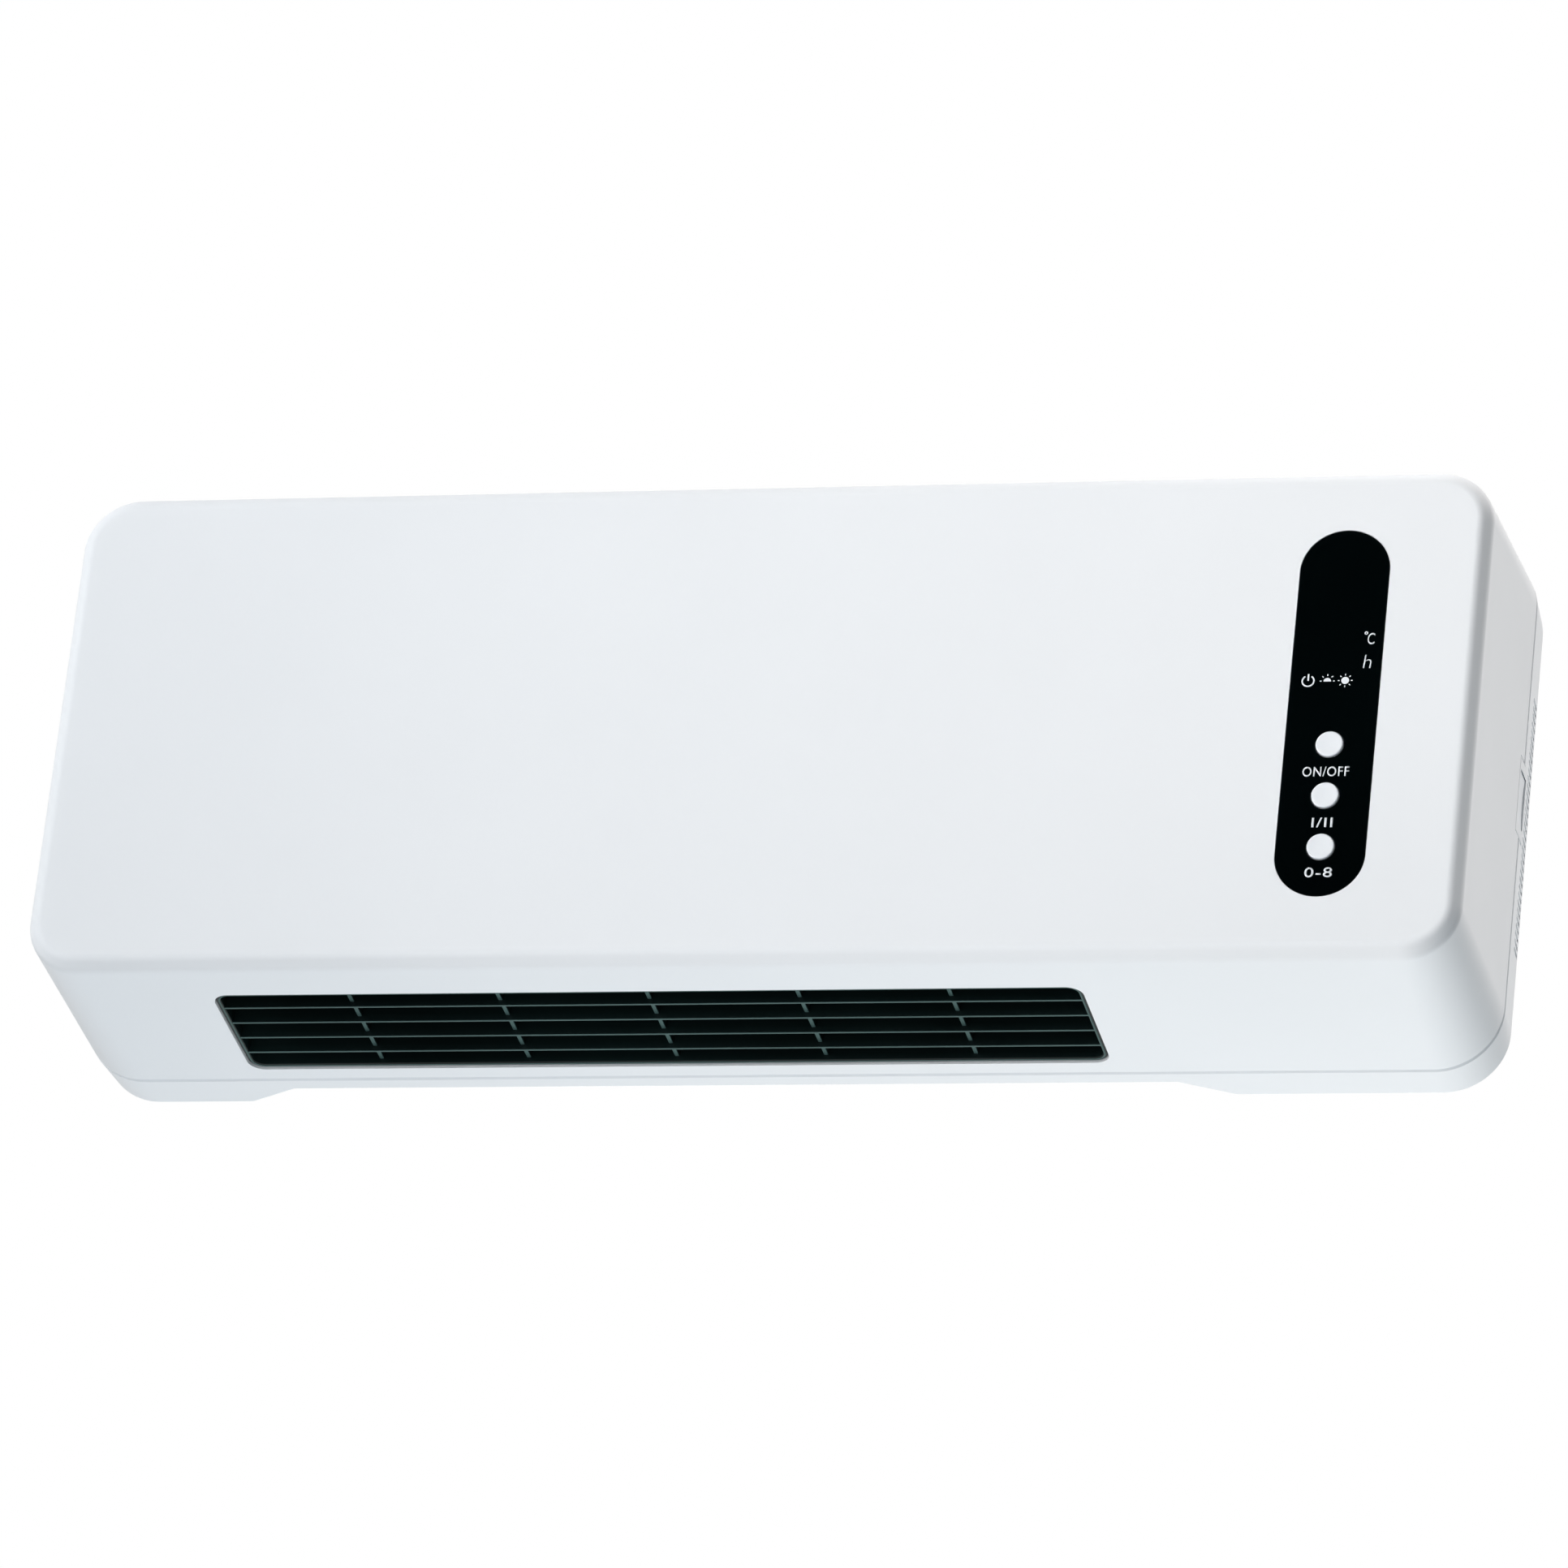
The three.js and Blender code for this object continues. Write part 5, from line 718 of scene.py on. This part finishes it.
def rear_cover():
    back = BODY_DEPTH
    outside = [
        ring(COVER_FRONT, SEAM_DEPTH, SEAM_BREAK),
        ring(COVER_FRONT + SEAM_BREAK, SEAM_DEPTH, 0),
    ]
    for angle in quarter(SMALL_STEPS):
        inset = COVER_TAPER + COVER_EDGE * (1 - cos(angle))
        outside.append(ring(back - COVER_EDGE + COVER_EDGE * sin(angle), back, inset))
    inside = [
        ring(COVER_FRONT - OVERRUN, SEAM_DEPTH, WALL),
        ring(BACK_INSIDE, back, COVER_TAPER + WALL),
    ]
    hollow = carve(loft("rear_hollow", inside), recess(WALL))
    shell = carve(loft("rear_shell", outside), recess(0), hollow)
    combine(shell, at_corners("well", WELL_RADIUS, (COVER_FRONT, back - COVER_EDGE)), "UNION")
    head_depths = (COVER_FRONT + WELL_FLOOR, back + OVERRUN)
    shank_depths = (COVER_FRONT - OVERRUN, back)
    gland_depths = (RECESS_FLOOR - WALL - OVERRUN, RECESS_FLOOR + OVERRUN)
    carve(
        shell,
        at_corners("head_bore", SCREW_HEAD_RADIUS + GAP, head_depths),
        at_corners("shank_bore", SCREW_RADIUS + GAP, shank_depths, SMALL_SIDES),
        join("keyholes", [keyhole(-KEYHOLE_X), keyhole(KEYHOLE_X)]),
        intake_slots(),
        side_slots(),
        prism("gland_hole", circle(GLAND_X, GLAND_Z, GLAND_RADIUS + GAP), "y", gland_depths),
        switch_notch(),
    )
    return place(smooth(shell, angle=25), "casing", "white_shell", "rear_cover")


# ---- Outlet grille ----


def grille_seat(obj):
    """Lowers a piece drawn round z = 0 to the underside and turns it to the underside's slope."""
    pivot = row(0, 0, 0) - row(0, 0, FRONT_HEIGHT / 2)
    origin = row(0, 0, 0)
    turn = Matrix.Rotation(-atan(FLOOR_SLOPE), 4, "X")
    obj.data.transform(Matrix.Translation(origin + pivot) @ turn @ Matrix.Translation(-origin))
    return obj


def paint_lower_edge_highlight(obj, level):
    """Gives the faces at the lower edge of a black piece a paler finish: a painted highlight."""
    for face in obj.data.polygons:
        if face.center.z / MM + HANG_HEIGHT < level + PAINTED_HIGHLIGHT_HEIGHT:
            face.material_index = 1
    return obj


def grille_outline(inset):
    """The grille's outline, drawn in by an inset that also tightens its corners."""
    left, right = GRILLE_LEFT + GAP + inset, GRILLE_RIGHT - GAP - inset
    front, rear = GRILLE_FRONT + GAP + inset, GRILLE_REAR - GAP - inset
    radius = GRILLE_RADIUS - GAP - max(inset, 0.0)
    return rounded(left, right, front, rear, radius, SMALL_STEPS * 2)


def grille_ring(name, outside, inside, heights, opened):
    """A flat ring between two insets of the grille's outline."""
    whole = prism(name, grille_outline(outside), "z", heights)
    return carve(whole, prism(f"{name}_open", grille_outline(inside), "z", opened))


def grille_frame():
    """The frame, the flange behind the casing's wall and the thin bead on the frame's face."""
    top = GRILLE_SINK + BAR_HEIGHT
    heights = (GRILLE_SINK, top + GRILLE_RISE)
    surround = grille_ring("grille_frame", 0.0, GRILLE_FRAME, heights, (0, top + 2 * OVERRUN))
    bevel(surround, FRAME_ROUNDING, segments=4)
    spread = -GRILLE_FLANGE - GAP
    heights = (WALL + GAP, WALL + GAP + FLANGE_THICKNESS)
    flange = grille_ring("grille_flange", spread, FLANGE_INSET, heights, (0, top))
    heights = (GRILLE_SINK - BEAD_PROUD, GRILLE_SINK + BEAD_HEIGHT)
    bead = grille_ring("grille_bead", BEAD_OUTSIDE, BEAD_INSIDE, heights, (-OVERRUN, top))
    return [surround, flange, paint_lower_edge_highlight(bead, GRILLE_SINK)]


def grille_bars():
    """The long bars and the cross ribs set back behind their lower edges."""
    front, rear = GRILLE_FRONT + GAP, GRILLE_REAR - GAP
    span = (GRILLE_LEFT + GAP + OVERRUN, GRILLE_RIGHT - GAP - OVERRUN)
    top = GRILLE_SINK + BAR_HEIGHT
    pitch = (rear - front) / (BAR_COUNT + 1)
    pieces = []
    for index in range(1, BAR_COUNT + 1):
        y = front + index * pitch
        bar = box("bar", span, about(y, BAR_EDGE / 2), (GRILLE_SINK, top))
        pieces.append(paint_lower_edge_highlight(bevel(bar, BAR_ROUNDING), GRILLE_SINK))
    middle = (GRILLE_LEFT + GRILLE_RIGHT) / 2
    depths = (front + OVERRUN, rear - OVERRUN)
    heights = (GRILLE_SINK + RIB_SETBACK, top - RIB_DROP)
    for index in range(RIB_COUNT):
        x = middle + (index - (RIB_COUNT - 1) / 2) * RIB_PITCH
        rib = bevel(box("rib", about(x, RIB_THICKNESS / 2), depths, heights), RIB_ROUNDING)
        pieces.append(paint_lower_edge_highlight(rib, GRILLE_SINK + RIB_SETBACK))
    return pieces


def outlet_grille():
    whole = grille_seat(join("grille", [*grille_frame(), *grille_bars()]))
    whole.data.materials.append(MATERIALS["black_grille"])
    # The second finish is the painted highlight on the lower edges
    whole.data.materials.append(MATERIALS["grille_edge"])
    return place(smooth(whole), "casing", "black_grille", "outlet_grille")


# ---- Control panel ----


def panel_lens():
    outline = stadium(PANEL_X, PANEL_Z, PANEL_WIDTH, PANEL_HEIGHT)
    plate = prism("lens", outline, "y", (0, LENS_THICKNESS))
    carve(plate, key_bores("lens_hole", (-OVERRUN, LENS_THICKNESS + OVERRUN)))
    bevel(plate, LENS_ROUNDING)
    return place(smooth(plate), "casing", "black_lens", "control_panel_lens")


def push_button(name, z):
    """A round key with a softly dished face, a rounded rim and its hidden flange and stem."""
    flange_end = BUTTON_BACK + BUTTON_FLANGE
    flat = BUTTON_RADIUS - BUTTON_ROUNDING
    profile = [(SLIVER, -BUTTON_PROUD + BUTTON_DISH)]
    for share in BUTTON_DISH_SHARES:
        profile.append((share * flat, -BUTTON_PROUD + BUTTON_DISH * (1 - share * share)))
    profile += rim(BUTTON_RADIUS, BUTTON_ROUNDING, -BUTTON_PROUD, SMALL_STEPS + 1)
    profile += [
        (BUTTON_RADIUS, BUTTON_BACK),
        (BUTTON_FLANGE_RADIUS, BUTTON_BACK),
        (BUTTON_FLANGE_RADIUS, flange_end),
        (BUTTON_STEM_RADIUS, flange_end),
        (BUTTON_STEM_RADIUS, flange_end + BUTTON_STEM),
    ]
    cap = lathe(f"{name}_cap", profile, PANEL_X, z)
    return place(smooth(cap), f"{name}_key", "white_button", f"{name}_button")


def arc_band(x, z, inner, outer, start, end):
    """A band round a centre, between two angles in degrees."""
    turns = [radians(start + (end - start) * step / ARC_STEPS) for step in range(ARC_STEPS + 1)]
    outside = [(x + outer * cos(turn), z + outer * sin(turn)) for turn in turns]
    inside = [(x + inner * cos(turn), z + inner * sin(turn)) for turn in reversed(turns)]
    return outside + inside


def dash(x, z, angle, near, far, width):
    """A short bar that points away from a centre."""
    out, up, half = cos(radians(angle)), sin(radians(angle)), width / 2
    corners = ((near, -half), (far, -half), (far, half), (near, half))
    return [(x + out * a - up * b, z + up * a + out * b) for a, b in corners]


def power_sign(x, z):
    """An open ring with a stroke in its gap."""
    return [arc_band(x, z, *POWER_RING), dash(x, z, *POWER_STROKE)]


def low_heat_sign(x, z):
    """A half sun with its rays."""
    rim = [radians(angle) for angle in range(0, 181, HALF_SUN_TURN)]
    half_sun = [(x + HALF_SUN_RADIUS * cos(turn), z + HALF_SUN_RADIUS * sin(turn)) for turn in rim]
    base = z + HALF_SUN_RAY_RISE
    return [half_sun, *(dash(x, base, angle, *RAY) for angle in range(0, 181, RAY_TURN))]


def high_heat_sign(x, z):
    """A whole sun with its rays."""
    sun = circle(x, z, SUN_RADIUS, SIGN_SIDES)
    return [sun, *(dash(x, z, angle, *RAY) for angle in range(0, 360, RAY_TURN))]


def panel_symbols():
    """The printed signs for power, high heat and low heat, and the ring of the degree sign."""
    shapes = [
        *power_sign(*POWER_SIGN),
        *high_heat_sign(*HIGH_HEAT_SIGN),
        *low_heat_sign(*LOW_HEAT_SIGN),
    ]
    depths = (-PRINT, 0.0)
    marks = [prism("mark", outline, "y", depths) for outline in shapes]
    degree = tube("degree", DEGREE_INSIDE, DEGREE_OUTSIDE, DEGREE_X, DEGREE_Z, depths, SIGN_SIDES)
    return place(join("panel_symbols", [*marks, degree]), "casing", "white_button")


def lettering(name, text, x, z, width, height, weight, slant):
    """A few plain characters of a set size, centred on a point of the lens."""
    curve = bpy.data.curves.new(name, "FONT")
    curve.body = text
    curve.shear = slant
    curve.offset = weight
    curve.space_character = LETTER_SPACING
    written = new_object(name, curve)
    depsgraph = bpy.context.evaluated_depsgraph_get()
    mesh = bpy.data.meshes.new_from_object(written.evaluated_get(depsgraph))
    bpy.data.objects.remove(written)
    xs = [vertex.co.x for vertex in mesh.vertices]
    ys = [vertex.co.y for vertex in mesh.vertices]
    scale_x = width / (max(xs) - min(xs))
    scale_y = height / (max(ys) - min(ys))
    middle_x, middle_y = (max(xs) + min(xs)) / 2, (max(ys) + min(ys)) / 2
    for vertex in mesh.vertices:
        across = x + (vertex.co.x - middle_x) * scale_x
        up = z + (vertex.co.y - middle_y) * scale_y
        vertex.co = row(across, -PRINT, up)
    label = new_object(name, mesh)
    modifier = label.modifiers.new("thickness", "SOLIDIFY")
    modifier.thickness = PRINT * MM
    modifier.offset = -1
    apply_modifiers(label)
    return place(label, "casing", "white_button")


# ---- Main switch ----


def switch_housing():
    """A block with a well that the rocker just clears, and two terminal tabs."""
    inner = SIDE_AT_SEAM - SWITCH_REACH + GAP
    depths = about(SEAM_DEPTH, SWITCH_WIDTH / 2)
    heights = about(SWITCH_Z, SWITCH_HEIGHT / 2)
    body = bevel(box("switch_body", (inner, SIDE_AT_SEAM), depths, heights), SWITCH_ROUNDING)
    open_depths = about(SEAM_DEPTH, SWITCH_WIDTH / 2 - SWITCH_WALL)
    swept = circle(ROCKER_X, SWITCH_Z, ROCKER_RADIUS + GAP, SWITCH_WELL_SIDES)
    well = prism("switch_well", swept, "y", open_depths)
    room = box(
        "switch_well_room",
        (ROCKER_X - ROCKER_ROOM, SIDE_AT_SEAM + OVERRUN),
        depths,
        about(SWITCH_Z, SWITCH_ROOM),
    )
    combine(well, room, "INTERSECT")
    carve(body, well)
    span = (inner - SWITCH_TAB_LENGTH, inner + SWITCH_TAB_SINK)
    sheet = about(SEAM_DEPTH, TAB_THICKNESS / 2)
    tabs = []
    for z in about(SWITCH_Z, SWITCH_HEIGHT / 4):
        tabs.append(box("tab", span, sheet, about(z, TAB_HEIGHT / 2)))
    whole = join("switch_housing", [body, *tabs])
    return place(smooth(whole), "casing", "white_shell", "main_switch_housing")


def switch_rocker():
    """A shallow dished paddle, flush in its housing, with ends round its pivot behind it."""
    half = SWITCH_WIDTH / 2 - SWITCH_WALL - GAP
    start = acos(ROCKER_FACE / ROCKER_RADIUS)
    end = start + radians(ROCKER_SWEEP)
    face_half = ROCKER_RADIUS * sin(start)
    points = []
    for step in range(ROCKER_STEPS + 1):
        share = 1 - 2 * step / ROCKER_STEPS
        points.append((ROCKER_FACE - ROCKER_DISH * (1 - share * share), face_half * share))
    for side in (-1, 1):
        turns = [start + (end - start) * step / SMALL_STEPS for step in range(1, SMALL_STEPS + 1)]
        arc = [(ROCKER_RADIUS * cos(turn), side * ROCKER_RADIUS * sin(turn)) for turn in turns]
        lip_z = ROCKER_RADIUS * sin(end) - ROCKER_LIP_Z
        lip = (ROCKER_RADIUS * cos(end) - ROCKER_LIP_X, side * lip_z)
        heel = (ROCKER_HEEL_X, side * ROCKER_HEEL_Z)
        stretch = [*arc, lip, heel]
        points += stretch if side < 0 else reversed(stretch)
    outline = [(ROCKER_X + out, SWITCH_Z + up) for out, up in points]
    paddle = prism("rocker", outline, "y", about(SEAM_DEPTH, half))
    bevel(paddle, ROCKER_ROUNDING, angle=50)
    return place(smooth(paddle), "switch_key", "white_button", "main_switch_rocker")


# ---- Back fittings ----


def cord_gland():
    """A rubber bush with a rounded lip on each side of the wall that holds it."""
    profile = []
    for seat, inwards in ((RECESS_FLOOR - WALL - GAP, 1), (RECESS_FLOOR + GAP, -1)):
        end = seat - inwards * GLAND_LIP
        half = [
            (GLAND_BORE, end),
            (GLAND_FLANGE - GLAND_ROUNDING, end),
            (GLAND_FLANGE - GLAND_SHOULDER, end + inwards * GLAND_SHOULDER),
            (GLAND_FLANGE, end + inwards * GLAND_ROUNDING),
            (GLAND_FLANGE, seat),
            (GLAND_RADIUS, seat),
        ]
        profile += half if inwards > 0 else reversed(half)
    gland = lathe("gland", profile, GLAND_X, GLAND_Z, closed=True)
    return place(smooth(gland), "casing", "black_rubber", "cord_gland")


def screw_profile(seat):
    """Half of a pan-head screw's outline, from the middle of its head to its tip."""
    top = seat + SCREW_HEAD
    point = seat - SCREW_LENGTH
    profile = [(SLIVER, top - HEAD_DIMPLE)]
    profile += rim(SCREW_HEAD_RADIUS, HEAD_ROUNDING, top, SMALL_STEPS, inwards=-1)
    profile += [(SCREW_HEAD_RADIUS, seat), (SCREW_RADIUS, seat)]
    depth = seat
    while depth - THREAD_PITCH > point + POINT_START:
        profile.append((SCREW_RADIUS - THREAD_DEPTH, depth - THREAD_PITCH * 0.5))
        profile.append((SCREW_RADIUS, depth - THREAD_PITCH * 0.75))
        depth -= THREAD_PITCH
    return [*profile, (SCREW_RADIUS - POINT_TAPER, point + POINT_SHOULDER), (POINT_RADIUS, point)]


def case_screw(number, x, z):
    """A pan-head screw with a cross recess, its head towards the wall."""
    seat = COVER_FRONT + WELL_FLOOR + GAP
    top = seat + SCREW_HEAD
    screw = lathe("screw", screw_profile(seat), x, z, SCREW_SIDES)
    depths = (top - CROSS_DEPTH, top + OVERRUN)
    for across, up in ((CROSS_ARM, CROSS_HALF_WIDTH), (CROSS_HALF_WIDTH, CROSS_ARM)):
        carve(screw, box("cross_recess", about(x, across), depths, about(z, up)))
    screw.name = f"case_screw_turned_{number}"
    return place(smooth(screw, angle=30), "casing", "steel", f"case_screw_{number}")


# ---- Heating elements ----


def heating_element(name, index):
    """A flat heater core between two bands of folded fins and their outer strips."""
    y = DUCT_MIDDLE + (index - 0.5) * ELEMENT_SPACING
    left = DUCT_LEFT + GAP + BRACKET / 2
    right = DUCT_RIGHT - GAP - BRACKET / 2
    fin_left, fin_right = DUCT_LEFT + BRACKET + 2 * GAP, DUCT_RIGHT - BRACKET - 2 * GAP
    heights = (HEATER_BOTTOM, HEATER_BOTTOM + HEATER_HEIGHT)
    fin_heights = (heights[0] + FIN_MARGIN, heights[1] - FIN_MARGIN)
    middle = sum(heights) / 2
    half = HEATER_CORE / 2
    parts = [bevel(box("core", (left, right), about(y, half), heights), CORE_ROUNDING, segments=2)]
    tab_span = (right - TAB_ROOT, right + TAB_LENGTH)
    parts.append(box("tab", tab_span, about(y, TAB_THICKNESS / 2), about(middle, TAB_HEIGHT / 2)))
    for side in (-1, 1):
        edge = y + side * (half + FIN_REACH)
        strip = sorted((edge, edge - side * SIDE_STRIP))
        parts.append(box("strip", (fin_left, fin_right), strip, heights))
        near, far = y + side * half, edge - side * SIDE_STRIP
        front_line, back_line = [], []
        for fold in range(FIN_FOLDS + 1):
            x = fin_left + (fin_right - fin_left - FIN_SHEET) * fold / FIN_FOLDS
            reach = near if fold % 2 else far
            front_line.append((x, reach))
            back_line.append((x + FIN_SHEET, reach))
        outline = front_line + back_line[::-1]
        parts.append(prism("fins", outline, "z", fin_heights))
    whole = join(f"{name}_folded", parts)
    return place(whole, "casing", "aluminium_fins", name)


# ---- Build ----

dress_nodes()
front_casing()
rear_cover()
outlet_grille()
panel_lens()
for key_name, key_height in BUTTON_ROWS.items():
    push_button(key_name, key_height)
panel_symbols()
for text_name, sign in TEXTS.items():
    lettering(text_name, *sign)
switch_housing()
switch_rocker()
cord_gland()
CASE_SCREW_ORDER = [(-1, -1), (1, -1), (1, 1), (-1, 1)]
for screw_number, (side_x, side_z) in enumerate(CASE_SCREW_ORDER, start=1):
    case_screw(screw_number, side_x * CASE_SCREW_X, side_z * CASE_SCREW_Z)
heating_element("heater_element_front", 0)
heating_element("heater_element_rear", 1)

# ---- Stage ----

FLOOR_Z = -4.5
FLOOR_HALF = 30.0
FLOOR_FINISH = ((0.82, 0.82, 0.82), 0.7, 0.01, 200, 0.01, 0.2)  # as in MOULDED
FLOOR_GLOW = 0.75  # how much of the floor's own white the camera sees
FLOOR_FADE = (16.0, 24.0)  # metres over which that share grows to all of it
WORLD_COLOUR, WORLD_LEVEL = (0.93, 0.97, 1.0), 0.2
WHITE_LIGHT = (1, 1, 1, 1)

HEATER_CENTRE = Vector((0.0, -0.06, -0.08))
RIGHT_END = Vector((0.5, -0.1, 0.05))
FAR_RIGHT = Vector((0.8, -0.1, 0.1))
LAMP_DISTANCE, LAMP_SIZE = 1.4, 0.8
EVEN, NARROW, WIDE = radians(180), radians(44), radians(80)
# Each lamp's turn from the room side to the right and its rise, both in degrees, then its level,
# colour, aim and spread
LAMPS = {
    "key": (-30, 0, 1.84, (1.05, 1.0, 0.97), RIGHT_END, NARROW),
    "key_left": (-45, 30, 0.55, (0.99, 1.0, 1.03), HEATER_CENTRE, EVEN),
    "fill": (-20, -45, 0.17, (0.96, 1.0, 1.05), HEATER_CENTRE, EVEN),
    "under_right": (-150, -75, 0.33, (1.2, 1.0, 0.8), RIGHT_END, NARROW),
    "under_left": (-30, -75, 0.15, (0.9, 1.0, 1.12), HEATER_CENTRE, EVEN),
    "under_back": (165, -45, 0.51, (0.96, 1.0, 1.02), HEATER_CENTRE, EVEN),
    "side": (105, 45, 1.84, (1.06, 1.0, 0.97), FAR_RIGHT, WIDE),
    "low_right": (75, -45, 0.07, (0.92, 1.0, 1.06), HEATER_CENTRE, EVEN),
}
FLAG_TOWARDS, FLAG_DISTANCE, FLAG_WIDTH = Vector((-0.247, -0.864, 0.44)), 2.6, 1.5
FLAG_FINISH = ((0.004, 0.004, 0.004), 1.0, 0.2, 300, 0.01, 0.0)

CAMERA_AIM = row(14.0, 0.0, -26.3)
CAMERA_TURN = radians(16.017)
CAMERA_RISE = radians(-26.341)
CAMERA_ROLL = radians(6.437)
CAMERA_DISTANCE = 4.0449
CAMERA_LENS = 258.27
CAMERA_SENSOR = 36.0
CAMERA_REACH = 100.0


def square(name, half):
    """A level square mesh round the origin."""
    mesh = bpy.data.meshes.new(name)
    corners = [(-half, -half, 0), (half, -half, 0), (half, half, 0), (-half, half, 0)]
    mesh.from_pydata(corners, [], [(0, 1, 2, 3)])
    return mesh


def math_node(tree, operation):
    node = tree.nodes.new("ShaderNodeMath")
    node.operation = operation
    return node


def stage_floor():
    """A pale floor that keeps the shadow. Camera and mirror rays see it fade to white far off."""
    mesh = square("floor", FLOOR_HALF)
    mesh.transform(Matrix.Translation((0, 0, FLOOR_Z)))
    floor = new_object("floor", mesh)
    paint = moulded("floor_paint", *FLOOR_FINISH)
    tree = paint.node_tree
    add, link = tree.nodes.new, tree.links.new
    path = add("ShaderNodeLightPath")
    seen = math_node(tree, "MAXIMUM")
    away = add("ShaderNodeVectorMath")
    away.operation = "LENGTH"
    level = add("ShaderNodeMapRange")
    ends = ("From Min", "From Max", "To Min", "To Max")
    for end, value in zip(ends, (*FLOOR_FADE, FLOOR_GLOW, 1.0)):
        level.inputs[end].default_value = value
    share = math_node(tree, "MULTIPLY")
    glow = add("ShaderNodeEmission")
    glow.inputs["Color"].default_value = WHITE_LIGHT
    mix = add("ShaderNodeMixShader")
    link(path.outputs["Is Camera Ray"], seen.inputs[0])
    link(path.outputs["Is Glossy Ray"], seen.inputs[1])
    link(tree.nodes["Texture Coordinate"].outputs["Object"], away.inputs[0])
    link(away.outputs["Value"], level.inputs["Value"])
    link(seen.outputs[0], share.inputs[0])
    link(level.outputs["Result"], share.inputs[1])
    link(share.outputs[0], mix.inputs["Fac"])
    link(tree.nodes["Principled BSDF"].outputs[0], mix.inputs[1])
    link(glow.outputs[0], mix.inputs[2])
    link(mix.outputs[0], tree.nodes["Material Output"].inputs["Surface"])
    floor.data.materials.append(paint)


def stage_world():
    """Soft even light, with a plain white background for camera, glossy and glass rays."""
    world = bpy.data.worlds.new("studio")
    world.use_nodes = True
    bpy.context.scene.world = world
    tree = world.node_tree
    tree.nodes.clear()
    add, link = tree.nodes.new, tree.links.new
    path = add("ShaderNodeLightPath")
    seen = math_node(tree, "MAXIMUM")
    either = math_node(tree, "MAXIMUM")
    soft = add("ShaderNodeBackground")
    soft.inputs["Color"].default_value = (*WORLD_COLOUR, 1)
    soft.inputs["Strength"].default_value = WORLD_LEVEL
    white = add("ShaderNodeBackground")
    white.inputs["Color"].default_value = WHITE_LIGHT
    white.inputs["Strength"].default_value = 1.0
    mix = add("ShaderNodeMixShader")
    output = add("ShaderNodeOutputWorld")
    link(path.outputs["Is Camera Ray"], seen.inputs[0])
    link(path.outputs["Is Glossy Ray"], seen.inputs[1])
    link(seen.outputs[0], either.inputs[0])
    link(path.outputs["Is Transmission Ray"], either.inputs[1])
    link(either.outputs[0], mix.inputs["Fac"])
    link(soft.outputs[0], mix.inputs[1])
    link(white.outputs[0], mix.inputs[2])
    link(mix.outputs[0], output.inputs["Surface"])


def studio_lamp(name, turn, rise, level, colour, aim, spread):
    """A soft square lamp. A level of 1 renders a facing colour as it is written.

    A spread below the even one fades the light away from the aim.
    """
    across, up = radians(turn), radians(rise)
    towards = Vector((sin(across) * cos(up), -cos(across) * cos(up), sin(up)))
    power = level * (pi * LAMP_DISTANCE) ** 2
    if spread < EVEN:
        power *= 1 - (spread / 2) / tan(spread / 2)
    data = bpy.data.lights.new(name, "AREA")
    data.shape = "SQUARE"
    data.size = LAMP_SIZE
    data.energy = power
    data.color = colour
    data.spread = spread
    lamp = new_object(name, data)
    lamp.location = HEATER_CENTRE + towards * LAMP_DISTANCE
    lamp.rotation_euler = (aim - lamp.location).to_track_quat("-Z", "Y").to_euler()
    lamp.visible_camera = False
    lamp.visible_glossy = False


def panel_flag():
    """A dark card that only reflections see, so that the lens shows black."""
    centre = HEATER_CENTRE + FLAG_TOWARDS.normalized() * FLAG_DISTANCE
    turn = FLAG_TOWARDS.to_track_quat("Z", "Y").to_matrix().to_4x4()
    mesh = square("panel_flag", FLAG_WIDTH / 2)
    mesh.transform(Matrix.Translation(centre) @ turn)
    card = new_object("panel_flag", mesh)
    card.data.materials.append(moulded("panel_flag_cloth", *FLAG_FINISH))
    card.visible_camera = False
    card.visible_diffuse = False
    card.visible_transmission = False
    card.visible_shadow = False


def stage_camera():
    data = bpy.data.cameras.new("camera")
    data.sensor_width = CAMERA_SENSOR
    data.sensor_fit = "HORIZONTAL"
    data.lens = CAMERA_LENS
    data.clip_end = CAMERA_REACH
    camera = new_object("camera", data)
    turn = Matrix.Rotation(CAMERA_TURN, 4, "Z") @ Matrix.Rotation(pi / 2 - CAMERA_RISE, 4, "X")
    turn = turn @ Matrix.Rotation(CAMERA_ROLL, 4, "Z")
    camera.matrix_world = Matrix.Translation(CAMERA_AIM + turn.col[2].xyz * CAMERA_DISTANCE) @ turn
    bpy.context.scene.camera = camera


stage_floor()
stage_world()
for lamp_name, lamp_settings in LAMPS.items():
    studio_lamp(lamp_name, *lamp_settings)
panel_flag()
stage_camera()
bpy.context.scene.view_settings.view_transform = "Standard"
